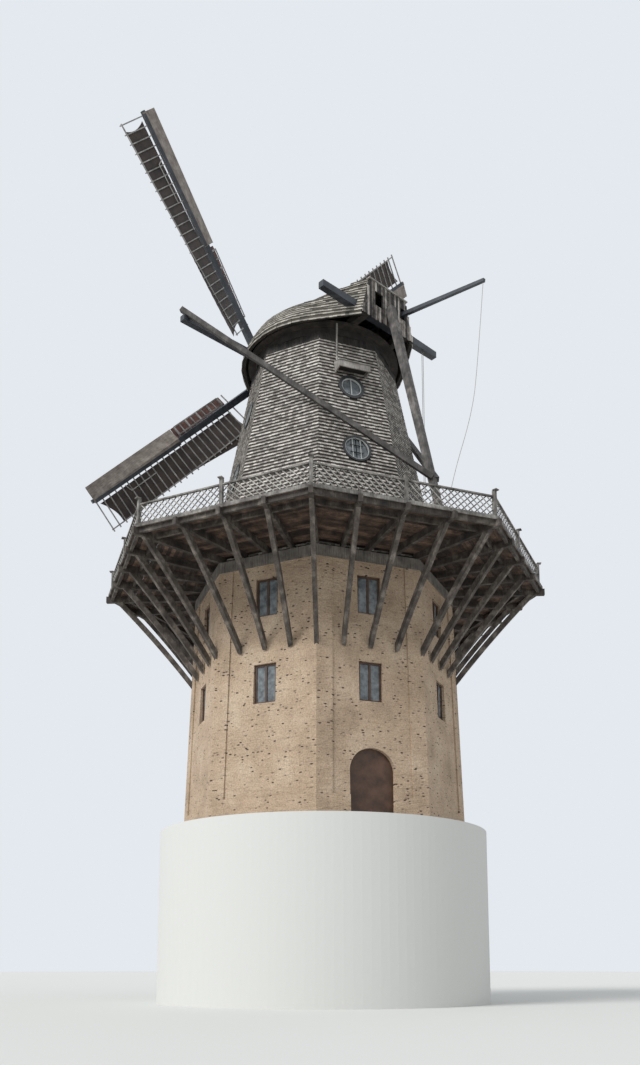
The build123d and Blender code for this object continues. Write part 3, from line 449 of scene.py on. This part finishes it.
# Ropes: two from the short spreader, and the brake rope from the lever's end.
ropes = {"hoistDiameter": 0.024, "brakeDiameter": 0.026, "knot": 1.3, "knotStretch": 1.6, "knotRoom": 0.05,
         "brakeRun": [(-1.0, 9.18, 23.394), (-1.0, 8.78, 19.8), (-0.9, 8.5, 17.6), (-0.55, 7.62, 14.8),
                      (-0.33, 7.45, 13.3)]}
ropeLow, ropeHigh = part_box("hoist_ropes")
ropeDrop = ropeHigh.z - ropeLow.z - ropes["knotRoom"]
inset = ropes["hoistDiameter"] / 2
for index, x in enumerate((ropeLow.x + inset, ropeHigh.x - inset)):
    run = [(x, (ropeLow.y + ropeHigh.y) / 2, ropeHigh.z - ropeDrop * step / 6) for step in range(7)]
    rope = cordAlong(f"hoistRope{index + 1}", run, ropes["hoistDiameter"], "cap")
    if index == 0:
        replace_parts(rope, "hoist_ropes")
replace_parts(cordAlong("brakeRopeLine", ropes["brakeRun"], ropes["brakeDiameter"], "lever"), "brake_rope")
print("ropes hung")

# Round windows, two panes above and nine below; the shingles leave room for them.
windows = [
    # The upper window's dark outer ring reaches 0.1 m beyond its radius: dark paint, widened with painted shade round
    # the window.
    {"height": 20.14, "radius": 0.525, "ringOut": 0.1, "upBars": (0,), "levelBars": ()},
    {"height": 16.8, "radius": 0.625, "ringOut": 0.05, "upBars": (-0.19, 0.19), "levelBars": (-0.19, 0.19)},
]
galleryDoor = {"low": 11.8, "high": 13.75, "half": 0.5}

# Smock shingles: even courses on every face, each shingle a split wedge. Widths and thicknesses are shares, drawn
# for each shingle.
smock = {"footRadius": 5.82, "topRadius": 3.48, "course": 0.178, "firstCourse": 0.02, "pastCorner": 0.014,
         "width": 0.165, "widths": (0.75, 1.3), "narrowest": 0.03, "joint": 0.005, "length": 0.25, "thickness": 0.022,
         "thicknesses": (0.85, 1.1), "bed": 0.003, "ragged": 0.012, "tone": 0.32, "toneSpread": 0.24,
         "paintedSideLight": 0.06, "windowRoom": 0.05, "doorRoom": 0.06}
skirt = {"drop": 0.4, "overlap": 0.02, "pastCorner": 0.01, "board": 0.14, "gap": 0.01, "thickness": 0.03,
         "standOff": 0.03, "ragged": 0.025, "tones": (-0.15, 0.2)}
smockLow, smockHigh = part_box("smock_wall_1")[0].z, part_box("smock_wall_1")[1].z
smockRise = smockHigh - smockLow
smockSlope = atan2((smock["footRadius"] - smock["topRadius"]) * flat, smockRise)
slopeLength = smockRise / cos(smockSlope)


def smockFrame(angle):
    # Directions on a smock face: across, up the slope and outward, with the point at its foot.
    outLevel, across = levelDirections(angle)
    up = (upright * cos(smockSlope) - outLevel * sin(smockSlope)).normalized()
    return across, up, across.cross(up).normalized(), outLevel * smock["footRadius"] * flat + upright * smockLow


def smockRadius(z):
    return smock["footRadius"] + (smock["topRadius"] - smock["footRadius"]) * (z - smockLow) / smockRise


def clearOfOpenings(angle, x, z):
    if angle in windowFaces:
        return all(hypot(x, z - window["height"]) > window["radius"] + smock["windowRoom"] for window in windows)
    if angle in galleryDoorFaces:
        beside = abs(x) >= galleryDoor["half"] + smock["doorRoom"]
        return beside or not galleryDoor["low"] < z < galleryDoor["high"]
    return True


for wallIndex, angle in enumerate(faceAngles):
    bm = newShape()
    across, up, out, foot = smockFrame(angle)
    # Shingles on the faces towards 22.5 degrees are lighter and those on the faces opposite are darker: painted light
    # from that side.
    faceTone = smock["tone"] + smock["paintedSideLight"] * cos(radians(angle - faceAngles[0]))
    spread = smock["toneSpread"]
    for course in range(int((slopeLength - skirt["drop"]) / smock["course"]) + 1):
        height = course * smock["course"] + smock["firstCourse"]
        z = smockLow + height * cos(smockSlope)
        half = smockRadius(z) * sin(halfSide) + smock["pastCorner"]
        edge = -half - (0.5 if course % 2 else 0) * smock["width"]
        while edge < half:
            width = smock["width"] * chance.uniform(*smock["widths"])
            x0, x1 = max(edge, -half), min(edge + width, half)
            edge += width
            tooNarrow = x1 - x0 < smock["narrowest"]
            if tooNarrow or not clearOfOpenings(angle, (x0 + x1) / 2, z + smock["course"] / 2):
                continue
            butt = foot + across * (x0 + x1) / 2 + up * (height + chance.uniform(-smock["ragged"], smock["ragged"]))
            butt += out * (smock["thickness"] * wedge["lean"] + smock["bed"])
            thickness = smock["thickness"] * chance.uniform(*smock["thicknesses"])
            addShingle(bm, butt, across, up, x1 - x0 - smock["joint"], smock["length"], thickness,
                       faceTone + chance.uniform(-spread, spread))
    finishPiece(f"smockShingles{wallIndex + 1}", bm, "tower", "shingles")

# A skirt of dark upright boards closes the top of the smock below the curb.
# The skirt's near-black boards are painted shade under the eave.
bm = newShape()
for angle in faceAngles:
    across, up, out, foot = smockFrame(angle)
    low = slopeLength - skirt["drop"] - skirt["overlap"]
    half = smockRadius(smockHigh - skirt["drop"] / 2) * sin(halfSide) + skirt["pastCorner"]
    count = round(2 * half / skirt["board"])
    for step in range(count):
        start = low + chance.uniform(-skirt["ragged"], skirt["ragged"])
        middle = across * (2 * half * (step + 0.5) / count - half)
        centre = foot + middle + up * ((slopeLength + start) / 2) + out * skirt["standOff"]
        size = (2 * half / count - skirt["gap"], slopeLength - start, skirt["thickness"])
        addBlock(bm, (across, up, out), centre, size, chance.uniform(*skirt["tones"]))
finishPiece("curbSkirt", bm, "tower", "dark")
print("smock shingled")

# Shingled roofs: rows follow the outline of the cap and of the small hood, level by level.
roof = {"course": 0.18, "width": 0.19, "narrowest": 0.03, "lap": 0.002, "thickness": 0.024,
        "thicknesses": (0.8, 1.15), "bed": 0.004, "overlap": 1.4, "longest": 0.5, "fringe": 0.06, "ragged": 0.012,
        "tone": 0.32, "rowSpread": 0.05, "toneSpread": 0.2, "emptyStep": 0.03, "level": 0.999}


def outlineAt(node, height):
    # Edges where a level cuts the node's surface, each with the way that its face looks.
    cut = bmesh.new()
    cut.from_mesh(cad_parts[node].data)
    made = bmesh.ops.bisect_plane(cut, geom=cut.verts[:] + cut.edges[:] + cut.faces[:], plane_co=(0, 0, height),
                                  plane_no=(0, 0, 1))["geom_cut"]
    cut.normal_update()
    lines = []
    for edge in made:
        if isinstance(edge, bmesh.types.BMEdge) and edge.link_faces:
            above = max(edge.link_faces, key=lambda face: face.calc_center_median().z)
            lines.append((edge.verts[0].co.copy(), edge.verts[1].co.copy(), above.normal.copy()))
    cut.free()
    return lines


def onCapRoof(start, end, normal):
    # Not on a gable, and looking away from the mill's axis.
    return abs(normal.y) < 0.97 and normal.dot((start + end) * Vector((0.5, 0.5, 0))) > 0.01


def onHoodRoof(start, end, normal):
    return 0.2 < normal.z < 0.98


def shingleRoof(node, low, high, shingled, body, name):
    bm = newShape()
    height, fringe, spread = low, roof["fringe"], roof["toneSpread"]
    while height < high:
        lines = [line for line in outlineAt(node, height) if shingled(*line) and abs(line[2].z) < roof["level"]]
        if not lines:
            height += roof["emptyStep"]
            continue
        lengths = sum((end - start).length for start, end, normal in lines)
        slope = sum(sqrt(1 - normal.z ** 2) * (end - start).length for start, end, normal in lines) / lengths
        step = roof["course"] * slope
        rowTone = roof["tone"] + chance.uniform(-roof["rowSpread"], roof["rowSpread"])
        for start, end, normal in lines:
            span = (end - start).length
            if span < roof["narrowest"]:
                continue
            across = (end - start).normalized()
            if normal.cross(across).z < 0:
                across = -across
            up = normal.cross(across)
            length = min(step / sqrt(1 - normal.z ** 2) * roof["overlap"], roof["longest"])
            count = max(1, round(span / roof["width"]))
            for place in range(count):
                butt = start + (end - start) * (place + 0.5) / count
                butt += normal * (roof["thickness"] * wedge["lean"] + roof["bed"])
                butt -= up * (fringe + chance.uniform(-roof["ragged"], roof["ragged"]))
                thickness = roof["thickness"] * chance.uniform(*roof["thicknesses"])
                addShingle(bm, butt, across, up, span / count + roof["lap"], length, thickness,
                           rowTone + chance.uniform(-spread, spread))
        height += step
        fringe = 0
    return finishPiece(name, bm, body, "roofShingles")


shellLow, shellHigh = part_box("cap_shell")
shingleRoof("cap_shell", shellLow.z + 0.01, shellHigh.z - 0.01, onCapRoof, "cap", "capShingles")
hoodLow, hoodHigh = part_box("window_hood")
shingleRoof("window_hood", hoodLow.z + 0.02, hoodHigh.z - 0.02, onHoodRoof, "tower", "hoodShingles")

# The hood is open below: a dark board under its roof keeps the shade that is seen there.
ceiling = {"near": 3.65, "far": 4.17, "half": 0.68, "rise": 0.2, "thickness": 0.015}
outLevel, across = levelDirections(windowFaces[0])
bm = newShape()
addBlock(bm, (across, outLevel, upright),
         outLevel * (ceiling["near"] + ceiling["far"]) / 2 + upright * (hoodLow.z + ceiling["rise"]),
         (2 * ceiling["half"], ceiling["far"] - ceiling["near"], ceiling["thickness"]))
finishPiece("hoodCeiling", bm, "tower", "dark")
print("roofs shingled")

# Deck: planks run along each side, a little apart, with a wider slit here and there.
deck = {"plank": 0.17, "widths": (0.92, 1.08), "narrowest": 0.05, "gap": 0.014, "gaps": (0.4, 1.2), "evenShare": 0.85,
        "slit": 2.6, "wallRoom": 0.01, "mitreGap": 0.005, "roughLength": 2.0, "tones": (-0.2, 0.2)}
deckLow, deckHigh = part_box("deck_boards")
deckReach = deckHigh.x * flat
bm = newShape()
for angle in faceAngles:
    out, across = levelDirections(angle)
    near = smockRadius(deckLow.z) * flat + deck["wallRoom"]
    while near + deck["narrowest"] < deckReach:
        far = min(near + deck["plank"] * chance.uniform(*deck["widths"]), deckReach)
        gap = deck["gap"] * (chance.uniform(*deck["gaps"]) if chance.random() < deck["evenShare"] else deck["slit"])
        centre = out * (near + far) / 2 + upright * (deckLow.z + deckHigh.z) / 2
        size = (far - near - gap, deck["roughLength"], deckHigh.z - deckLow.z)
        for vert in addBlock(bm, (out, across, upright), centre, size, chance.uniform(*deck["tones"])):
            side = 1 if vert.co.dot(across) > 0 else -1  # each end goes to its corner line
            end = vert.co.dot(out) * tan(halfSide) - deck["mitreGap"]
            vert.co += across * (side * end - vert.co.dot(across))
        near = far
planks = finishPiece("deckPlanks", bm, "tower", "deck")
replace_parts(planks, "deck_boards")
print("deck laid")

# Railing lattice: two layers of slanting laths, one behind the other, each lath leaning over three cells.
lattice = {"columns": 13, "rows": 3, "width": 0.045, "depth": 0.015, "layer": 0.008, "distance": 9.418,
           "postHalf": 0.07, "shortest": 0.05, "tones": (-0.05, 0.15), "outerLightTone": 0.12, "innerShadeTone": -0.3}
latticeLow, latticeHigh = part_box("railing_lattice_1")[0].z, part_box("railing_lattice_1")[1].z
bayStart, bayEnd = lattice["postHalf"], lattice["distance"] * tan(halfSide) - lattice["postHalf"] / flat
bm = newShape()
for angle in faceAngles:
    out, across = levelDirections(angle)
    for side in (-1, 1):
        low, high = sorted((side * bayStart, side * bayEnd))
        cell = (high - low) / lattice["columns"]
        # The outer laths are drawn lighter and the inner ones darker: painted light on the front layer and painted
        # shade on the layer behind it.
        for way, layerShading in ((-1, lattice["outerLightTone"]), (1, lattice["innerShadeTone"])):
            for step in range(-lattice["rows"], lattice["columns"]):
                foot = low + step * cell
                head = foot + cell * lattice["rows"]
                if way < 0:  # the other layer is this one mirrored in the bay
                    foot, head = low + high - foot, low + high - head
                span = head - foot
                lowShare, highShare = 0.0, 1.0  # the part of the lath between the bay's two posts
                for limit, inside in ((low, 1), (high, -1)):
                    meet = (limit - foot) / span
                    if (foot - limit) * inside < 0:
                        lowShare = max(lowShare, meet)
                    if (head - limit) * inside < 0:
                        highShare = min(highShare, meet)
                if highShare - lowShare < lattice["shortest"]:
                    continue
                plane = out * (lattice["distance"] - way * lattice["layer"])
                ends = [plane + across * (foot + span * share)
                        + upright * (latticeLow + (latticeHigh - latticeLow) * share)
                        for share in (lowShare, highShare)]
                tone = chance.uniform(*lattice["tones"]) + layerShading
                barBetween(bm, *ends, lattice["width"], lattice["depth"], out, tone)
laths = finishPiece("railingLaths", bm, "tower", "rail")
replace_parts(laths, "railing_lattice_1", "railing_lattice_2")
print("railing laced")

# A flat cap on every railing post: at the eight corners and halfway between them.
posts = {"distance": 10.269, "cap": 0.2, "capDepth": 0.035, "tones": (-0.1, 0.1)}
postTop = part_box("railing_posts")[1].z
bm = newShape()
for step in range(16):
    out, across = levelDirections(22.5 * step)
    centre = out * posts["distance"] * (flat if step % 2 else 1) + upright * (postTop + posts["capDepth"] / 2)
    addBlock(bm, (out, across, upright), centre, (posts["cap"], posts["cap"], posts["capDepth"]),
             chance.uniform(*posts["tones"]))
finishPiece("postCaps", bm, "tower", "rail")
print("posts capped")

# Gable boarding: upright boards with dark gaps over the plate at the back of the cap. They leave out a hatch, and a
# slot where the brake lever comes through, which falls from its pin towards its end.
gable = {"footHalf": 1.68, "topHalf": 1.19, "low": 23.4, "high": 25.175, "face": 4.46, "board": 0.125,
         "widths": (0.8, 1.2), "thickness": 0.022, "gap": 0.02, "overhang": 0.07, "ragged": 0.03, "shortest": 0.05,
         "tones": (-0.38, 0.3), "hatchSides": (0.375, 0.825), "hatchLevels": (24.04, 24.74), "slotSide": -1.0,
         "slotHalf": 0.115, "slotBelow": 0.42, "slotAbove": 0.14, "pin": 2.5, "leverFall": 1.36 / 6.75}
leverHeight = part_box("brake_lever")[1].z - (gable["face"] - gable["pin"]) * gable["leverFall"]
bm = newShape()
edge = -gable["footHalf"]
while edge < gable["footHalf"]:
    width = gable["board"] * chance.uniform(*gable["widths"])
    x0, x1 = edge, min(edge + width, gable["footHalf"])
    edge += width
    middle = (x0 + x1) / 2
    slant = min(1, (gable["footHalf"] - abs(middle)) / (gable["footHalf"] - gable["topHalf"]))
    low = gable["low"] - gable["overhang"] + chance.uniform(-gable["ragged"], gable["ragged"])
    high = gable["low"] + (gable["high"] - gable["low"]) * slant
    spans = [(low, high)]
    if x1 > gable["hatchSides"][0] and x0 < gable["hatchSides"][1]:
        spans = [(low, gable["hatchLevels"][0]), (gable["hatchLevels"][1], high)]
    if abs(middle - gable["slotSide"]) < gable["slotHalf"] + gable["board"] / 2:
        spans = [(low, leverHeight - gable["slotBelow"]), (leverHeight + gable["slotAbove"], high)]
    for low, high in spans:
        if high - low > gable["shortest"]:
            centre = Vector((middle, gable["face"] + gable["thickness"] / 2, (low + high) / 2))
            addBlock(bm, Matrix.Identity(3), centre, (x1 - x0 - gable["gap"], gable["thickness"], high - low),
                     chance.uniform(*gable["tones"]))
finishPiece("rearGableBoards", bm, "cap", "boards")
print("gable boarded")

# Round windows: a dark outer ring, a chalky sash ring and glazing bars.
joinery = {"ringDepths": (0.0, 0.075), "sashDepths": (-0.02, 0.05), "barDepths": (-0.02, 0.03), "ringIn": 0.045,
           "sashRims": (0.085, 0.047), "barEnd": 0.06, "upBar": 0.035, "levelBar": 0.022, "levelLength": 0.62,
           "facets": 48}


def addRing(bm, turn, inner, outer, depths):
    # A flat ring: its section is a small grid, spun about the window's own axis.
    verts = bmesh.ops.create_grid(bm, x_segments=1, y_segments=1, size=0.5)["verts"]
    for vert in verts:
        vert.co = ((inner + outer) / 2 + vert.co.x * (outer - inner), 0,
                   (depths[0] + depths[1]) / 2 + vert.co.y * (depths[1] - depths[0]))
    section = list({face for vert in verts for face in vert.link_faces})
    known = set(bm.verts) - set(verts)
    bmesh.ops.spin(bm, geom=section + verts, axis=(0, 0, 1), cent=(0, 0, 0), steps=joinery["facets"], angle=2 * pi,
                   use_merge=True)
    bmesh.ops.transform(bm, matrix=turn, verts=[vert for vert in bm.verts if vert not in known])


dark, pale = newShape(), newShape()
barBack, barFront = joinery["barDepths"]
for angle in windowFaces:
    across, up, out, foot = smockFrame(angle)
    for window in windows:
        centre = foot + up * ((window["height"] - smockLow) / cos(smockSlope))
        turn = placeOf((across, up, out), centre)
        radius = window["radius"]
        addRing(dark, turn, radius - joinery["ringIn"], radius + window["ringOut"], joinery["ringDepths"])
        addRing(pale, turn, *(radius - rim for rim in joinery["sashRims"]), joinery["sashDepths"])
        centre += out * (barBack + barFront) / 2
        for x in window["upBars"]:
            half = sqrt((radius - joinery["barEnd"]) ** 2 - x ** 2)
            addBlock(pale, (across, up, out), centre + across * x, (joinery["upBar"], 2 * half, barFront - barBack))
        for y in window["levelBars"]:
            addBlock(dark, (across, up, out), centre + up * y,
                     (joinery["levelLength"], joinery["levelBar"], barFront - barBack))
rings = finishPiece("windowRings", dark, "tower", "windowRing")
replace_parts(rings, "round_window_frames")
finishPiece("windowSashes", pale, "tower", "sashPaint")
print("round windows made")


def armFrame(index):
    arm = armDirection(index)
    middle = sails["hub"] + shaftLine * (sails["spacing"] * (0.5 if index % 2 else -0.5))
    return placeOf((arm, shaftLine.cross(arm), shaftLine), middle)


def onSail(x, u, v):
    # A place x along an arm, u across it and v in front of it, on a sail turned by its weather there.
    share = (x - sails["heel"]) / (sails["length"] - sails["heel"])
    w = radians(sails["heelWeather"] + (sails["tipWeather"] - sails["heelWeather"]) * share)
    return Vector((x, u * cos(w) - v * sin(w), u * sin(w) + v * cos(w)))


# Laths behind the sails: a frame on the leading boards and a small rack beside the stock near the tip.
laths = {"back": -0.04, "depth": 0.02, "frameAcross": (0.24, 0.68), "longWidth": 0.06, "crossWidth": 0.09,
         "crossBack": 0.022, "rackAcross": (-0.24, -0.6), "rackAlong": (8.85, 10.6), "rackSlant": 0.15,
         "rackWidth": 0.045, "rackTone": 0.1, "tones": (-0.15, 0.1)}
barPlaces = [sails["heel"] + barPitch * step for step in range(sails["bars"])]
sailFront = Vector((0, 0, 1))
bm = newShape()
for index in range(4):
    fresh = set(bm.verts)
    for u in laths["frameAcross"]:
        for first in range(1, sails["noseBar"] - 1):
            ends = [onSail(barPlaces[step], u, laths["back"]) for step in (first, first + 1)]
            barBetween(bm, *ends, laths["longWidth"], laths["depth"], sailFront, chance.uniform(*laths["tones"]))
    for step in range(1, sails["noseBar"], 2):
        ends = [onSail(barPlaces[step], u, laths["back"] - laths["crossBack"]) for u in laths["frameAcross"]]
        barBetween(bm, *ends, laths["crossWidth"], laths["depth"], sailFront, chance.uniform(*laths["tones"]))
    low, high = laths["rackAlong"]
    near, far = laths["rackAcross"]
    corners = [onSail(*place, laths["back"]) for place in ((high + laths["rackSlant"], near), (high, far), (low, far))]
    for start, end in zip(corners, corners[1:]):
        barBetween(bm, start, end, laths["rackWidth"], laths["depth"], sailFront, laths["rackTone"])
    bmesh.ops.transform(bm, matrix=armFrame(index), verts=[vert for vert in bm.verts if vert not in fresh])
finishPiece("sailLaths", bm, "sails", "paleLaths")

# A dark batten covers the nose boards' edge on the back of each stock.
batten = {"start": sails["heel"] + barPitch * (sails["noseBar"] - 0.2), "startSide": (-0.095, -0.153), "end": 12.6,
          "endSide": (-0.055, -0.114), "width": 0.17, "depth": 0.012}
bm = newShape()
for index in range(4):
    start, end = Vector((batten["start"], *batten["startSide"])), Vector((batten["end"], *batten["endSide"]))
    verts = barBetween(bm, start, end, batten["width"], batten["depth"], sailFront)
    bmesh.ops.transform(bm, matrix=armFrame(index), verts=verts)
finishPiece("stockBattens", bm, "sails", "darkPaint")
print("sail laths set")

# Sail canvas: each cloth lies on its bars, stretched between them, with hollowed ends and a loose flare at the
# heel. A fade is a power: the higher, the nearer to its end a hollow, slant or flare stays.
canvas = {"firstBar": 0.75, "lastBar": sails["bars"] - 1.4, "near": -0.27, "far": -1.55, "front": 0.036, "sag": 0.01,
          "endHollow": 0.16, "tipSlants": (0.1, 0.3, 0.3, 0.55), "tipFade": 8, "heelSlant": 0.3, "endFade": 12,
          "flare": 0.5, "flareReach": 2.1, "flareFade": 1.3, "thickness": 0.004, "grid": (96, 12)}
clothStart, clothEnd = (sails["heel"] + barPitch * canvas[name] for name in ("firstBar", "lastBar"))
for index in range(4):
    bm = newShape()
    bmesh.ops.create_grid(bm, x_segments=canvas["grid"][0], y_segments=canvas["grid"][1], size=0.5)
    for vert in bm.verts:
        along, across = vert.co.x + 0.5, vert.co.y + 0.5
        bulge = 4 * across * (1 - across)
        x = clothStart + (clothEnd - clothStart) * along
        x += canvas["endHollow"] * bulge * ((1 - along) ** canvas["endFade"] - along ** canvas["endFade"])
        x -= canvas["tipSlants"][index] * across * along ** canvas["tipFade"]
        betweenBars = sin(pi * (x - sails["heel"]) / barPitch) ** 2
        x -= canvas["heelSlant"] * across * (1 - along) ** canvas["endFade"]
        flare = canvas["flare"] * max(0, 1 - along * canvas["flareReach"]) ** canvas["flareFade"] * across ** 2
        u = canvas["near"] + (canvas["far"] - canvas["near"]) * across - flare
        vert.co = onSail(x, u, canvas["front"] - canvas["sag"] * betweenBars)
    bmesh.ops.transform(bm, matrix=armFrame(index), verts=bm.verts)
    area = sum(face.calc_area() for face in bm.faces)
    cloth = finishPiece(f"sailCanvas{index + 1}", bm, "sails", "canvas")
    solid = cloth.modifiers.new("thickness", "SOLIDIFY")
    solid.thickness = canvas["thickness"]
    solid.offset = 0
    if index == 0:
        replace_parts(cloth, "sail_cloths")
print("sails dressed")

# Stage: a pale round block under the mill, a pale floor below it and a plain sky.
stage = {"floor": -7.5, "blockRadius": 7.4, "blockFacets": 128, "blockGap": 0.003, "floorHalf": 200,
         "paint": "#cdcdc9"}
stagePaint, _, stageShader, _ = startMaterial("matteStagePaint", 0.9)
stageShader.inputs["Base Color"].default_value = linear(stage["paint"])
bm = newShape()
bmesh.ops.create_cone(bm, cap_ends=True, segments=stage["blockFacets"], radius1=stage["blockRadius"],
                      radius2=stage["blockRadius"], depth=-stage["floor"],
                      matrix=Matrix.Translation((0, 0, stage["floor"] / 2 - stage["blockGap"])))
bmesh.ops.create_grid(bm, x_segments=1, y_segments=1, size=stage["floorHalf"],
                      matrix=Matrix.Translation((0, 0, stage["floor"])))
linkObject("stageGround", meshOf("stageGround", bm, stagePaint))

# The sky lights the mill with one strength and shows itself with another.
sky = {"light": "#f2f6fb", "lightStrength": 0.8, "seen": "#e4e9ef", "seenStrength": 1.0}
world = bpy.data.worlds.new("paleSky")
bpy.context.scene.world = world
world.use_nodes = True
tree = world.node_tree
tree.nodes.clear()
rays = addNode(tree, "ShaderNodeLightPath")
direct = addNode(tree, "ShaderNodeMath", {"operation": "MAXIMUM"},
                 {0: rays.outputs["Is Camera Ray"], 1: rays.outputs["Is Glossy Ray"]})
light = addNode(tree, "ShaderNodeBackground", {"Color": linear(sky["light"]), "Strength": sky["lightStrength"]})
seen = addNode(tree, "ShaderNodeBackground", {"Color": linear(sky["seen"]), "Strength": sky["seenStrength"]})
both = addNode(tree, "ShaderNodeMixShader", links={0: direct, 1: light, 2: seen})
addNode(tree, "ShaderNodeOutputWorld", links={"Surface": both})

lamp = {"towards": Vector((1.0, -0.05, 0.85)), "strength": 2.4, "spread": 25}
sun = linkObject("hazySun", bpy.data.lights.new("hazySun", "SUN"))
sun.data.energy = lamp["strength"]
sun.data.angle = radians(lamp["spread"])
sun.rotation_euler = lamp["towards"].to_track_quat("Z", "Y").to_euler()
bpy.context.scene.view_settings.view_transform = "Standard"
print("stage set")
